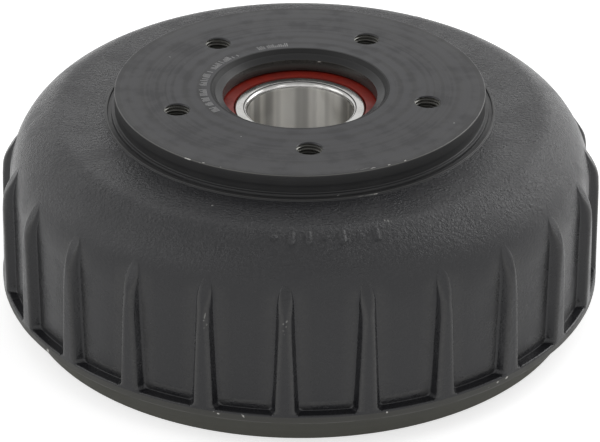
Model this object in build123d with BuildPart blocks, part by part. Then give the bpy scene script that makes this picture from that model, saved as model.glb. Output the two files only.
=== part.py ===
"""Ribbed brake drum with an integral hub and a sealed double-row taper roller bearing.

Millimetres. The Z axis is the wheel axis, z = 0 is the open rim that the drum stands on,
and the wheel face looks along +Z.
"""

import os
from math import cos, radians, sin, sqrt, tan

from build123d import *

os.makedirs("parts", exist_ok=True)

# ---------------------------------------------------------------- driving dimensions

# brake drum
brake_radius = 115.0          # friction surface
wall_thickness = 11.4         # drum wall, measured at the foot of the ribs
wall_draft = 0.9              # degrees
nose_wall = 6.3               # turned lip that enters the backplate
nose_height = 13.2
rim_band_height = 3.8         # cast band between the lip and the rib pockets
rib_count = 24
rib_height = 4.3
rib_crest_width = 6.8
rib_flank_angle = 17.0        # degrees, slope of each rib flank
rib_taper = 2.6               # degrees, each side, towards the wheel face
rib_crest_rise = 2.4          # straight crest above the end of the straight wall
rib_nose_length = 10.5        # sloping end of the rib, which lies on the dome
rib_point_length = 14.5       # from the end of the straight crest to where the flanks would meet
rib_phase = -92.5             # degrees, direction of the first rib
pocket_fillet = 2.5           # between the wall and the floor of each pocket
rim_chamfer = 0.6
dome_radius = 32.3
dome_crown = 2.2              # how far the dome's circle would rise above the shoulder
shoulder_blend = 12.0
web_thickness = 8.3
inner_corner_radius = 15.0
lead_in = 2.0                 # chamfer at the mouth of the friction surface
relief_width = 3.5            # grinding relief at the blind end of the friction surface
relief_depth = 0.8

# wheel boss
face_height = 100.0
boss_radius = 79.6
boss_chamfer = 0.5
shoulder_drop = 9.7           # from the wheel face down to the cast shoulder
turned_step_drop = 8.2        # from the wheel face down to the inner turned step
turned_step_width = 1.4
turned_ring_drop = 9.0        # from the wheel face down to the outer turned ring
turned_ring_width = 2.7
bolt_circle_radius = 56.0
bolt_count = 5
bolt_phase = 58.2             # degrees
thread_radius = 6.0           # M12, at the root of the thread
countersink_radius = 6.7

# mouth and cap seat
stop_width = 6.8              # shoulder that the bearing's outer ring is pressed against
cap_ledge_width = 3.2
cap_ledge_depth = 3.25
mouth_bevel_width = 1.4
mouth_bevel_depth = 1.7
cap_seat_depth = 8.4          # from the wheel face down to the outer ring

# hub
hub_wall = 7.0
hub_end_wall = 3.6            # metal beyond the retaining ring groove
hub_chamfer = 1.2
hub_root_radius = 3.0

# bearing
bearing_outer_radius = 40.0
bore_share = 0.5625           # of the outer radius
cup_share = 0.3406            # outer ring at the middle of a row, as a share of the section
cone_share = 0.1977           # inner ring at the middle of a row
outer_ring_width = 41.0
inner_ring_inset = 1.0        # end faces of the inner rings, inside those of the outer ring
inner_ring_edge_radial = 1.45
inner_ring_edge_depth = 3.0
large_rib_height = 1.2        # inner ring's rib at the large ends of the rollers
small_rib_height = 1.0
ring_chamfer = 0.8
roller_count = 17
roller_tilt = 13.0            # degrees, roller axis to wheel axis
row_gap = 8.48                # between the two rows, along the wheel axis
row_end_space = 2.24          # between a row and the seal, along the wheel axis
small_rib_clearance = 0.2     # between the small rib and the end of a roller
running_gap = 0.05
roller_end_gap = 0.1          # between the large rib and the end of a roller
cage_thickness = 1.5
cage_outset = 0.4             # middle of the cage's wall, outside the roller axes
cage_gap = 0.2                # round each roller in its pocket
cage_end_bar = 1.3

# seals
seal_seat_share = 0.915       # of the outer radius
seal_depth = 3.3
seal_case_thickness = 0.8
seal_face_recess = 0.8        # rubber face below the outer ring's end
seal_lip_width = 1.8          # bare rubber inside the steel case
seal_lip_gap = 0.3

# retaining ring
clip_thickness = 2.5
clip_groove_width = 2.65
clip_groove_depth = 1.5
clip_fit_gap = 0.2
clip_band = 4.0
clip_opening = 16.0           # degrees, between the middles of its two ears
clip_direction = 90.0         # degrees, towards its opening
clip_ear_radius = 4.2
clip_eye_radius = 1.3

# ---------------------------------------------------------------- derived places

wall_foot_radius = brake_radius + wall_thickness
crest_foot_radius = wall_foot_radius + rib_height
nose_radius = brake_radius + nose_wall
ledge_z = nose_height + rim_band_height
shoulder_z = face_height - shoulder_drop
dome_centre_z = shoulder_z + dome_crown - dome_radius
dome_tangent_z = dome_centre_z + dome_radius * sin(radians(wall_draft))
dome_tangent_x = wall_foot_radius - (dome_tangent_z - ledge_z) * tan(radians(wall_draft))
dome_centre_x = dome_tangent_x - dome_radius * cos(radians(wall_draft))
dome_end_x = dome_centre_x + sqrt(dome_radius**2 - (dome_radius - dome_crown) ** 2)
web_z = shoulder_z - web_thickness

rib_crest_top_z = dome_tangent_z + rib_crest_rise
rib_tip_z = rib_crest_top_z + rib_nose_length
rib_point_z = rib_crest_top_z + rib_point_length

bearing_bore_radius = bearing_outer_radius * bore_share
bearing_section = bearing_outer_radius - bearing_bore_radius
cap_seat_radius = bearing_outer_radius - stop_width
mouth_bevel_radius = cap_seat_radius + cap_ledge_width
mouth_radius = mouth_bevel_radius + mouth_bevel_width
bearing_stop_z = face_height - cap_seat_depth
bearing_low_z = bearing_stop_z - outer_ring_width
bearing_mid_z = bearing_stop_z - outer_ring_width / 2
clip_groove_low_z = bearing_low_z - clip_groove_width
hub_end_z = clip_groove_low_z - hub_end_wall
hub_radius = bearing_outer_radius + hub_wall
clip_groove_radius = bearing_outer_radius + clip_groove_depth


def corner(sketch, x, y):
    """The vertex of a profile that lies closest to a point of the profile's plane."""
    return sketch.vertices().sort_by_distance(Vector(x, y))[0]


# ---------------------------------------------------------------- drum casting

with BuildPart() as rib_set:
    rib_root_radius = brake_radius + wall_thickness / 2
    rib_depth = crest_foot_radius + 1 - rib_root_radius
    rib_foot_z = ledge_z - rib_depth
    rib_root_half = rib_crest_width / 2 + rib_depth * tan(radians(rib_flank_angle))
    rib_shoulder_half = rib_root_half - (rib_crest_top_z - ledge_z) * tan(radians(rib_taper))
    for index in range(rib_count):
        direction = Vector(1, 0, 0).rotate(Axis.Z, rib_phase + index * 360 / rib_count)
        sideways = Axis.Z.direction.cross(direction)
        with BuildSketch(Plane(origin=direction * rib_root_radius, x_dir=sideways, z_dir=direction)):
            Polygon(
                (-rib_root_half, rib_foot_z),
                (rib_root_half, rib_foot_z),
                (rib_shoulder_half, rib_crest_top_z),
                (0, rib_point_z),
                (-rib_shoulder_half, rib_crest_top_z),
                align=None,
            )
        extrude(amount=rib_depth, taper=rib_flank_angle)
    crest_top_radius = crest_foot_radius - (rib_crest_top_z - ledge_z) * tan(radians(wall_draft))
    rib_tip_radius = dome_centre_x + sqrt(dome_radius**2 - (rib_tip_z - dome_centre_z) ** 2)
    with BuildSketch(Plane.XZ):
        Polygon(
            (0, ledge_z),
            (crest_foot_radius, ledge_z),
            (crest_top_radius, rib_crest_top_z),
            (rib_tip_radius, rib_tip_z),
            (0, rib_tip_z),
            align=None,
        )
    revolve(axis=Axis.Z, mode=Mode.INTERSECT)

with BuildPart() as drum_casting:
    turned_step_radius = boss_radius + turned_step_width
    turned_ring_radius = turned_step_radius + turned_ring_width
    friction_top_z = web_z - inner_corner_radius - relief_width
    with BuildSketch(Plane.XZ) as drum_profile:
        with BuildLine():
            Polyline(
                (dome_tangent_x, dome_tangent_z),
                (wall_foot_radius, ledge_z),
                (crest_foot_radius, ledge_z),
                (crest_foot_radius, nose_height),
                (nose_radius, nose_height),
                (nose_radius, 0),
                (brake_radius + lead_in, 0),
                (brake_radius, lead_in),
                (brake_radius, friction_top_z),
                (brake_radius + relief_depth, friction_top_z + relief_depth),
                (brake_radius + relief_depth, web_z),
                (hub_radius, web_z),
                (hub_radius, hub_end_z),
                (bearing_outer_radius + hub_chamfer, hub_end_z),
                (bearing_outer_radius, hub_end_z + hub_chamfer),
                (bearing_outer_radius, clip_groove_low_z),
                (clip_groove_radius, clip_groove_low_z),
                (clip_groove_radius, bearing_low_z),
                (bearing_outer_radius, bearing_low_z),
                (bearing_outer_radius, bearing_stop_z),
                (cap_seat_radius, bearing_stop_z),
                (cap_seat_radius, face_height - cap_ledge_depth),
                (mouth_bevel_radius, face_height - mouth_bevel_depth),
                (mouth_radius, face_height),
                (boss_radius, face_height),
                (boss_radius, face_height - turned_step_drop),
                (turned_step_radius, face_height - turned_step_drop),
                (turned_step_radius, face_height - turned_ring_drop),
                (turned_ring_radius, face_height - turned_ring_drop),
                (turned_ring_radius, shoulder_z),
                (dome_end_x, shoulder_z),
            )
            RadiusArc((dome_end_x, shoulder_z), (dome_tangent_x, dome_tangent_z), dome_radius)
        make_face()
        fillet(corner(drum_profile, dome_end_x, shoulder_z), shoulder_blend)
        fillet(corner(drum_profile, wall_foot_radius, ledge_z), pocket_fillet)
        fillet(corner(drum_profile, brake_radius + relief_depth, web_z), inner_corner_radius)
        fillet(corner(drum_profile, hub_radius, web_z), hub_root_radius)
        chamfer(corner(drum_profile, hub_radius, hub_end_z), hub_chamfer)
        chamfer(corner(drum_profile, boss_radius, face_height), boss_chamfer)
        chamfer(corner(drum_profile, crest_foot_radius, nose_height), rim_chamfer)
        chamfer(corner(drum_profile, nose_radius, 0), rim_chamfer)
    revolve(axis=Axis.Z)
    add(rib_set.part)
    with Locations(Plane.XY.offset(face_height)):
        with PolarLocations(bolt_circle_radius, bolt_count, start_angle=bolt_phase):
            CounterSinkHole(
                radius=thread_radius,
                counter_sink_radius=countersink_radius,
                counter_sink_angle=90,
            )

drum_casting.part.label = "drum_casting"

# ---------------------------------------------------------------- bearing rings

# The rollers of a row lie on a cone round the wheel axis, and roller axes and raceways all meet
# in one point of the wheel axis. Lengths along a roller are counted from its middle, positive
# towards the large end, which faces away from the bearing's middle.

tilt = radians(roller_tilt)
roller_space = bearing_section * (1 - cup_share - cone_share)
roller_radius = roller_space / 2 / cos(tilt) - running_gap
roller_pitch_radius = bearing_bore_radius + bearing_section * cone_share + roller_space / 2
row_width = outer_ring_width / 2 - seal_depth - row_end_space - row_gap / 2
row_z = bearing_mid_z + row_gap / 2 + row_width / 2
half_roller = row_width / 2 / cos(tilt)
mid_plane = Plane.XY.offset(bearing_mid_z)


def roller_radius_at(length):
    """The radius of the tapered roller at a length from its middle."""
    return roller_radius * (1 + length * sin(tilt) / roller_pitch_radius)


def beside_roller(length, across):
    """A point of the outboard row's section, across from the roller axis, as (radius, z)."""
    radius = roller_pitch_radius + length * sin(tilt) + across * cos(tilt)
    height = row_z + length * cos(tilt) - across * sin(tilt)
    return radius, height


def cup_point(length):
    """A point of the outer raceway."""
    return beside_roller(length, roller_radius_at(length) + running_gap)


def cone_point(length, height=0):
    """A point of the inner raceway, or of a rib that stands up from it by a height."""
    return beside_roller(length, height / cos(tilt) - roller_radius_at(length) - running_gap)


cup_low_radius, cup_low_z = cup_point(-half_roller - cage_end_bar)
small_rib_radius, small_rib_z = cone_point(-half_roller - small_rib_clearance, small_rib_height)
large_rib_radius, large_rib_z = cone_point(half_roller + roller_end_gap, large_rib_height)
inner_end_z = bearing_stop_z - inner_ring_inset
seal_seat_radius = bearing_outer_radius * seal_seat_share
seal_shelf_z = bearing_stop_z - seal_depth

with BuildPart() as bearing_outer_ring:
    with BuildSketch(Plane.XZ) as cup_section:
        Polygon(
            (cup_low_radius, bearing_mid_z),
            (bearing_outer_radius, bearing_mid_z),
            (bearing_outer_radius, bearing_stop_z),
            (seal_seat_radius, bearing_stop_z),
            (seal_seat_radius, seal_shelf_z),
            (cup_point(half_roller + cage_end_bar)[0], seal_shelf_z),
            cup_point(half_roller + cage_end_bar),
            (cup_low_radius, cup_low_z),
            align=None,
        )
        chamfer(corner(cup_section, bearing_outer_radius, bearing_stop_z), ring_chamfer)
    revolve(axis=Axis.Z)
    mirror(about=mid_plane)
bearing_outer_ring.part.label = "bearing_outer_ring"

with BuildPart() as inner_ring_outboard:
    with BuildSketch(Plane.XZ):
        with BuildLine():
            cone_outline = Polyline(
                (bearing_bore_radius + inner_ring_edge_radial, inner_end_z),
                (large_rib_radius, inner_end_z),
                (large_rib_radius, large_rib_z),
                cone_point(half_roller + roller_end_gap),
                cone_point(-half_roller - small_rib_clearance),
                (small_rib_radius, small_rib_z),
                (small_rib_radius, bearing_mid_z),
                (bearing_bore_radius, bearing_mid_z),
                (bearing_bore_radius, inner_end_z - inner_ring_edge_depth),
            )
            TangentArc(cone_outline @ 1, cone_outline @ 0, tangent=(0, 1))
        make_face()
    revolve(axis=Axis.Z)
inner_ring_outboard.part.label = "inner_ring_outboard"

with BuildPart() as inner_ring_inboard:
    mirror(inner_ring_outboard.part, about=mid_plane)
inner_ring_inboard.part.label = "inner_ring_inboard"

# ---------------------------------------------------------------- rollers and cages


def roller_directions():
    """The directions from the wheel axis to the rollers of a row."""
    for index in range(roller_count):
        yield Vector(1, 0, 0).rotate(Axis.Z, index * 360 / roller_count)


rollers = []
for number, direction in enumerate(roller_directions(), start=1):
    middle = direction * roller_pitch_radius + Vector(0, 0, row_z)
    axis_direction = direction * sin(tilt) + Vector(0, 0, cos(tilt))
    with BuildPart(Plane(origin=middle, z_dir=axis_direction)) as roller_outboard:
        Cone(
            bottom_radius=roller_radius_at(-half_roller),
            top_radius=roller_radius_at(half_roller),
            height=2 * half_roller,
        )
    with BuildPart() as roller_inboard:
        mirror(roller_outboard.part, about=mid_plane)
    roller_outboard.part.label = f"roller_outboard_{number:02d}"
    roller_inboard.part.label = f"roller_inboard_{number:02d}"
    rollers += [roller_outboard.part, roller_inboard.part]

with BuildPart() as cage_outboard:
    cage_half = half_roller + cage_gap + cage_end_bar
    cage_inside = cage_outset - cage_thickness / 2
    cage_outside = cage_outset + cage_thickness / 2
    with BuildSketch(Plane.XZ):
        Polygon(
            beside_roller(-cage_half, cage_inside),
            beside_roller(-cage_half, cage_outside),
            beside_roller(cage_half, cage_outside),
            beside_roller(cage_half, cage_inside),
            align=None,
        )
    revolve(axis=Axis.Z)
    pocket_half = half_roller + cage_gap
    small_half_width = roller_radius_at(-pocket_half) + cage_gap
    large_half_width = roller_radius_at(pocket_half) + cage_gap
    for direction in roller_directions():
        middle = direction * roller_pitch_radius + Vector(0, 0, row_z)
        outward = direction * cos(tilt) - Vector(0, 0, sin(tilt))
        with BuildSketch(Plane(origin=middle, x_dir=Axis.Z.direction.cross(direction), z_dir=outward)):
            Polygon(
                (-small_half_width, -pocket_half),
                (small_half_width, -pocket_half),
                (large_half_width, pocket_half),
                (-large_half_width, pocket_half),
                align=None,
            )
        extrude(amount=cage_outside + cage_thickness, both=True, mode=Mode.SUBTRACT)
cage_outboard.part.label = "cage_outboard"

with BuildPart() as cage_inboard:
    mirror(cage_outboard.part, about=mid_plane)
cage_inboard.part.label = "cage_inboard"

# ---------------------------------------------------------------- seals

with BuildPart() as seal_case_outboard:
    seal_face_z = bearing_stop_z - seal_face_recess
    case_inner_radius = seal_seat_radius - seal_case_thickness
    lip_inner_radius = large_rib_radius + seal_lip_gap
    lip_outer_radius = lip_inner_radius + seal_lip_width
    with BuildSketch(Plane.XZ):
        Polygon(
            (lip_outer_radius, seal_shelf_z),
            (seal_seat_radius, seal_shelf_z),
            (seal_seat_radius, seal_face_z),
            (case_inner_radius, seal_face_z),
            (case_inner_radius, seal_shelf_z + seal_case_thickness),
            (lip_outer_radius, seal_shelf_z + seal_case_thickness),
            align=None,
        )
    revolve(axis=Axis.Z)
seal_case_outboard.part.label = "seal_case_outboard"

with BuildPart() as seal_lip_outboard:
    with BuildSketch(Plane.XZ):
        Polygon(
            (lip_inner_radius + seal_lip_width / 2, seal_shelf_z),
            (lip_outer_radius, seal_shelf_z),
            (lip_outer_radius, seal_shelf_z + seal_case_thickness),
            (case_inner_radius, seal_shelf_z + seal_case_thickness),
            (case_inner_radius, seal_face_z),
            (lip_inner_radius, seal_face_z),
            (lip_inner_radius, seal_face_z - seal_lip_width / 2),
            align=None,
        )
    revolve(axis=Axis.Z)
seal_lip_outboard.part.label = "seal_lip_outboard"

with BuildPart() as seal_case_inboard:
    mirror(seal_case_outboard.part, about=mid_plane)
seal_case_inboard.part.label = "seal_case_inboard"

with BuildPart() as seal_lip_inboard:
    mirror(seal_lip_outboard.part, about=mid_plane)
seal_lip_inboard.part.label = "seal_lip_inboard"

# ---------------------------------------------------------------- retaining ring

with BuildPart() as retaining_ring:
    clip_outer_radius = clip_groove_radius - clip_fit_gap
    ear_circle = clip_outer_radius - clip_ear_radius
    ear_angles = [clip_direction - clip_opening / 2, clip_direction + clip_opening / 2]
    gap_corner = Vector(2 * clip_outer_radius, 0)
    with BuildSketch(Plane.XY.offset(bearing_low_z)):
        Circle(clip_outer_radius)
        Circle(clip_outer_radius - clip_band, mode=Mode.SUBTRACT)
        Polygon(
            (0, 0),
            gap_corner.rotate(Axis.Z, ear_angles[0]),
            gap_corner.rotate(Axis.Z, ear_angles[1]),
            align=None,
            mode=Mode.SUBTRACT,
        )
        for angle in ear_angles:
            ear_middle = Vector(ear_circle, 0).rotate(Axis.Z, angle)
            with Locations(ear_middle):
                Circle(clip_ear_radius)
                Circle(clip_eye_radius, mode=Mode.SUBTRACT)
    extrude(amount=-clip_thickness)
retaining_ring.part.label = "retaining_ring"

# ---------------------------------------------------------------- files

pieces = [
    drum_casting.part,
    bearing_outer_ring.part,
    inner_ring_outboard.part,
    inner_ring_inboard.part,
    cage_outboard.part,
    cage_inboard.part,
    seal_case_outboard.part,
    seal_lip_outboard.part,
    seal_case_inboard.part,
    seal_lip_inboard.part,
    retaining_ring.part,
]
for piece in pieces + rollers:
    export_step(piece, f"parts/{piece.label}.step")
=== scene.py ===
"""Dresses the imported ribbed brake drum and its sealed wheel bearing, and sets the studio round it.

Lengths in the size classes are millimetres unless a name says otherwise, and every mesh is written
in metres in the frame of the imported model: +Z is the wheel axis, z = 0 the rim that the drum
stands on. Angles are degrees, counted from +X about +Z.
"""

import logging
import math
from collections.abc import Callable, Sequence
from dataclasses import dataclass, field
from enum import IntEnum

import bpy
import numpy as np
from mathutils import Matrix, Vector, geometry
from mathutils.bvhtree import BVHTree

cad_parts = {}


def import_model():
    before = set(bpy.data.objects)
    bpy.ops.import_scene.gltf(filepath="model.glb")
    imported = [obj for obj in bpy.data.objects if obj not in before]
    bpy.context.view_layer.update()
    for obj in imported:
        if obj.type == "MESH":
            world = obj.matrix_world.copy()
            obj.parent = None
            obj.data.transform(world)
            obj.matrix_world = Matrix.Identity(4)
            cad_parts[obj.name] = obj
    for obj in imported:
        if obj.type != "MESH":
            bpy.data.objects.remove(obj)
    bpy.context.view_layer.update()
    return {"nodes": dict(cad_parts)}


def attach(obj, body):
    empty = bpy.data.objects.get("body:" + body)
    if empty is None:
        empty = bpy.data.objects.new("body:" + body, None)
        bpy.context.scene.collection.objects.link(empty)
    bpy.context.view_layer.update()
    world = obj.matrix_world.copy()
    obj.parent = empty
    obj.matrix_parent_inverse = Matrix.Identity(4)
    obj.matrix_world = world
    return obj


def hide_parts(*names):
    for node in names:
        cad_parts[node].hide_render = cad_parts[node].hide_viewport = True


MM = 0.001
PHASE = math.radians(-92.5)     # direction of the first rib, and of a turned mesh's first column
LOG = logging.getLogger("brake_drum")

Point = tuple[float, float]
Colour = tuple[float, float, float]
Corner = tuple[float, float, float]     # radius, height and the radius that rounds the corner
Socket = bpy.types.NodeSocket
Node = bpy.types.Node
ShaderTree = bpy.types.NodeTree
Material = bpy.types.Material
Object = bpy.types.Object

NUMBER = "NodeSocketFloat"      # the sockets of every shared effect
WHITE = (1.0, 1.0, 1.0, 1.0)
RUBBED_AND_HIGHLIGHT: Colour = (0.13, 0.128, 0.12)    # edges where the coat is thin from rubbing, and painted edge highlights
FACE_HEIGHT = 100.0     # height of the wheel face
THREAD_ROOT = 6.0       # radius of the bolt holes at the bottom of their thread
COUNTERSINK = 5.7       # radius of the bolt holes at the wheel face
NO_AREA = 1e-7          # a face with less than this has none
HOLE_STEPS = 64         # chords round a bolt hole in the wheel face and the web
HOLE_MARGIN = 1.2       # room round a hole that a plate's helper points keep free


# ---------------------------------------------------------------- shader tools


@dataclass
class NodeTree:
    """A short way to write shader node trees.

    Attributes:
        tree: The node tree that nodes are added to.
    """

    tree: ShaderTree

    def add(self, kind: str, **settings: object) -> Node:
        """Adds a node.

        Args:
            kind: The node's type name, without its ShaderNode prefix.
            settings: Attributes to set on the node.

        Returns:
            The new node.
        """
        node = self.tree.nodes.new("ShaderNode" + kind)
        for name, value in settings.items():
            setattr(node, name, value)
        return node

    def feed(self, socket: Socket, value: object) -> None:
        """Links an output to a socket, or sets the socket's own value.

        Args:
            socket: The input to feed.
            value: An output socket, a number or a tuple of numbers.
        """
        if isinstance(value, Socket):
            self.tree.links.new(value, socket)
        elif isinstance(value, tuple) and len(value) == 3 and socket.type == "RGBA":
            socket.default_value = (*value, 1.0)
        else:
            socket.default_value = value

    def math(self, operation: str, *values: object, clamp: bool = False) -> Socket:
        """Computes one value.

        Args:
            operation: The Math node's operation.
            values: Its inputs, in order.
            clamp: Whether the result is kept between 0 and 1.

        Returns:
            The result's socket.
        """
        node = self.add("Math", operation=operation, use_clamp=clamp)
        for socket, value in zip(node.inputs, values):
            self.feed(socket, value)
        return node.outputs[0]

    def times(self, first: object, second: object) -> Socket:
        """Multiplies two values."""
        return self.math("MULTIPLY", first, second)

    def plus(self, first: object, second: object, clamp: bool = False) -> Socket:
        """Adds two values, and keeps the sum between 0 and 1 where clamp says so."""
        return self.math("ADD", first, second, clamp=clamp)

    def ramp(self, value: object, low: float, high: float, start: float = 0.0, end: float = 1.0
             ) -> Socket:
        """Maps a value smoothly from one range to another.

        Args:
            value: The value to map.
            low: Where the change starts.
            high: Where the change ends.
            start: The result at low.
            end: The result at high.

        Returns:
            The mapped value's socket.
        """
        node = self.add("MapRange", interpolation_type="SMOOTHSTEP")
        names = ("Value", "From Min", "From Max", "To Min", "To Max")
        for name, item in zip(names, (value, low, high, start, end)):
            self.feed(node.inputs[name], item)
        return node.outputs["Result"]

    def noise(self, vector: object, scale: object, detail: float, roughness: float) -> Socket:
        """Makes a noise value about 0.5.

        Args:
            vector: The place to sample, as a socket.
            scale: Noise cells per unit of the vector.
            detail: Octaves.
            roughness: Weight of the finer octaves.

        Returns:
            The noise value's socket.
        """
        node = self.add("TexNoise")
        names = ("Vector", "Scale", "Detail", "Roughness")
        for name, item in zip(names, (vector, scale, detail, roughness)):
            self.feed(node.inputs[name], item)
        return node.outputs["Fac"]

    def line_noise(self, travel: object, scale: float, detail: float) -> Socket:
        """Makes a noise value about 0.5 that changes along one direction only.

        Args:
            travel: The place along it.
            scale: Noise cells per unit of travel.
            detail: Octaves.

        Returns:
            The noise value's socket.
        """
        node = self.add("TexNoise", noise_dimensions="1D")
        for name, item in zip(("W", "Scale", "Detail"), (travel, scale, detail)):
            self.feed(node.inputs[name], item)
        return node.outputs["Fac"]

    def mix(self, factor: object, first: object, second: object) -> Socket:
        """Mixes two colours.

        Args:
            factor: Share of the second colour.
            first: The colour at 0.
            second: The colour at 1.

        Returns:
            The mixed colour's socket.
        """
        node = self.add("Mix", data_type="RGBA")
        self.feed(node.inputs["Factor"], factor)
        colours = [socket for socket in node.inputs if socket.type == "RGBA"]
        self.feed(colours[0], first)
        self.feed(colours[1], second)
        return next(socket for socket in node.outputs if socket.type == "RGBA")

    def place(self) -> Socket:
        """Returns the place on the object, in metres."""
        return self.add("TexCoord").outputs["Object"]

    def bump(self, height: object, depth: float, normal: object | None = None) -> Socket:
        """Turns a height into a normal.

        Args:
            height: The height, from 0 to 1.
            depth: The relief between 0 and 1, in metres.
            normal: A normal to build on.

        Returns:
            The normal's socket.
        """
        node = self.add("Bump")
        node.inputs["Distance"].default_value = depth
        self.feed(node.inputs["Height"], height)
        if normal is not None:
            self.feed(node.inputs["Normal"], normal)
        return node.outputs["Normal"]


class Effects:
    """The effects that several finishes share, each one node group made when first used."""

    def __init__(self) -> None:
        """Starts with no groups."""
        self._groups: dict[str, ShaderTree] = {}

    def use(self, tree: NodeTree, name: str, **inputs: object) -> Node:
        """Places an effect in a material.

        Args:
            tree: The material's tree.
            name: The effect's name, which is that of the method that builds it.
            inputs: Values for its inputs, with underscores for spaces.

        Returns:
            The group node.
        """
        if name not in self._groups:
            self._groups[name] = getattr(self, "_build_" + name)()
        node = tree.add("Group")
        node.node_tree = self._groups[name]
        for key, value in inputs.items():
            tree.feed(node.inputs[key.replace("_", " ")], value)
        return node

    def _start(self, name: str, inputs: dict[str, float], outputs: Sequence[str]
               ) -> tuple[NodeTree, Node, Node]:
        """Makes an empty group with number sockets.

        Args:
            name: The group's name.
            inputs: Its inputs and their usual values.
            outputs: Its outputs.

        Returns:
            The group's tree, its input node and its output node.
        """
        group = bpy.data.node_groups.new(name, "ShaderNodeTree")
        for key, value in inputs.items():
            socket = group.interface.new_socket(key, in_out="INPUT", socket_type=NUMBER)
            socket.default_value = value
        for key in outputs:
            group.interface.new_socket(key, in_out="OUTPUT", socket_type=NUMBER)
        start = group.nodes.new("NodeGroupInput")
        return NodeTree(group), start, group.nodes.new("NodeGroupOutput")

    def _cells(self, tree: NodeTree, start: Node) -> Socket:
        """Returns the noise cells per metre for the group's input Size, in millimetres."""
        return tree.math("DIVIDE", 1.0 / MM, start.outputs["Size"])

    def _build_polar(self) -> ShaderTree:
        """Builds the place round the wheel axis: radius and height in millimetres, and turn.

        Returns:
            The group, with outputs Radius, Height and Turn, the last in radians.
        """
        tree, _, result = self._start("round_wheel_axis", {}, ("Radius", "Height", "Turn"))
        parts = tree.add("SeparateXYZ")
        tree.feed(parts.inputs[0], tree.place())
        x, y, z = parts.outputs
        reach = tree.math("SQRT", tree.plus(tree.times(x, x), tree.times(y, y)))
        tree.feed(result.inputs["Radius"], tree.math("DIVIDE", reach, MM))
        tree.feed(result.inputs["Height"], tree.math("DIVIDE", z, MM))
        tree.feed(result.inputs["Turn"], tree.math("ARCTAN2", y, x))
        return tree.tree

    def _build_edge_wear_and_highlight(self) -> ShaderTree:
        """Builds the mask of edges thin from rubbing and of painted edge highlights, from the value
        that each mesh gives its points.

        Returns:
            The group, with input Hold, how far the rubbing and the painted highlights take hold, and
            output Mask.
        """
        tree, start, result = self._start("edge_wear_and_highlight", {"Hold": 1.0}, ("Mask",))
        # painted highlights: the mesh's values lighten edges and strips where reflections fall, and
        # places thin from rubbing
        worn_and_highlight = tree.add("Attribute", attribute_name="wear_and_highlight").outputs["Fac"]
        tree.feed(result.inputs["Mask"], tree.times(worn_and_highlight, start.outputs["Hold"]))
        return tree.tree

    def _build_cast_grain(self) -> ShaderTree:
        """Builds the pebbled skin that moulding sand leaves.

        Returns:
            The group, with input Size in millimetres and outputs Height and Pits.
        """
        tree, start, result = self._start("cast_grain", {"Size": 1.2}, ("Height", "Pits"))
        place, cells = tree.place(), self._cells(tree, start)
        coarse = tree.noise(place, cells, 3.0, 0.62)
        fine = tree.noise(place, tree.times(cells, 2.7), 2.0, 0.6)
        height = tree.plus(tree.times(coarse, 0.68), tree.times(fine, 0.32))
        tree.feed(result.inputs["Height"], height)
        tree.feed(result.inputs["Pits"], tree.ramp(coarse, 0.36, 0.28))
        return tree.tree

    def _build_unevenness(self) -> ShaderTree:
        """Builds the slow rise and fall of a cast or pressed surface.

        Returns:
            The group, with input Size in millimetres and output Height.
        """
        tree, start, result = self._start("unevenness", {"Size": 25.0}, ("Height",))
        cells = self._cells(tree, start)
        tree.feed(result.inputs["Height"], tree.noise(tree.place(), cells, 1.5, 0.45))
        return tree.tree

    def _build_tool_marks(self) -> ShaderTree:
        """Builds the fine lines that a turning or grinding tool leaves along its travel.

        Returns:
            The group, with inputs Travel and Pitch in millimetres and outputs Height and Bands.
        """
        inputs = {"Travel": 0.0, "Pitch": 0.4}
        tree, start, result = self._start("tool_marks", inputs, ("Height", "Bands"))
        along = tree.math("DIVIDE", start.outputs["Travel"], start.outputs["Pitch"])
        tree.feed(result.inputs["Height"], tree.line_noise(along, 1.0, 2.0))
        tree.feed(result.inputs["Bands"], tree.ramp(tree.line_noise(along, 0.11, 3.0), 0.35, 0.65))
        return tree.tree

    def _build_smudges(self) -> ShaderTree:
        """Builds handling marks: soft oily patches and dust.

        Returns:
            The group, with input Size in millimetres and outputs Patches and Specks.
        """
        tree, start, result = self._start("smudges", {"Size": 14.0}, ("Patches", "Specks"))
        place, cells = tree.place(), self._cells(tree, start)
        patches = tree.noise(place, cells, 4.0, 0.6)
        specks = tree.noise(place, tree.times(cells, 24.0), 1.0, 0.5)
        tree.feed(result.inputs["Patches"], tree.ramp(patches, 0.42, 0.66))
        tree.feed(result.inputs["Specks"], tree.ramp(specks, 0.70, 0.78))
        return tree.tree


# ---------------------------------------------------------------- finishes


def new_material(name: str) -> tuple[Material, NodeTree, Node]:
    """Makes an empty node material with a principled shader.

    Args:
        name: The material's name.

    Returns:
        The material, its tree and the principled shader.
    """
    material = bpy.data.materials.new(name)
    material.use_nodes = True
    tree = NodeTree(material.node_tree)
    return material, tree, material.node_tree.nodes["Principled BSDF"]


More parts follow.
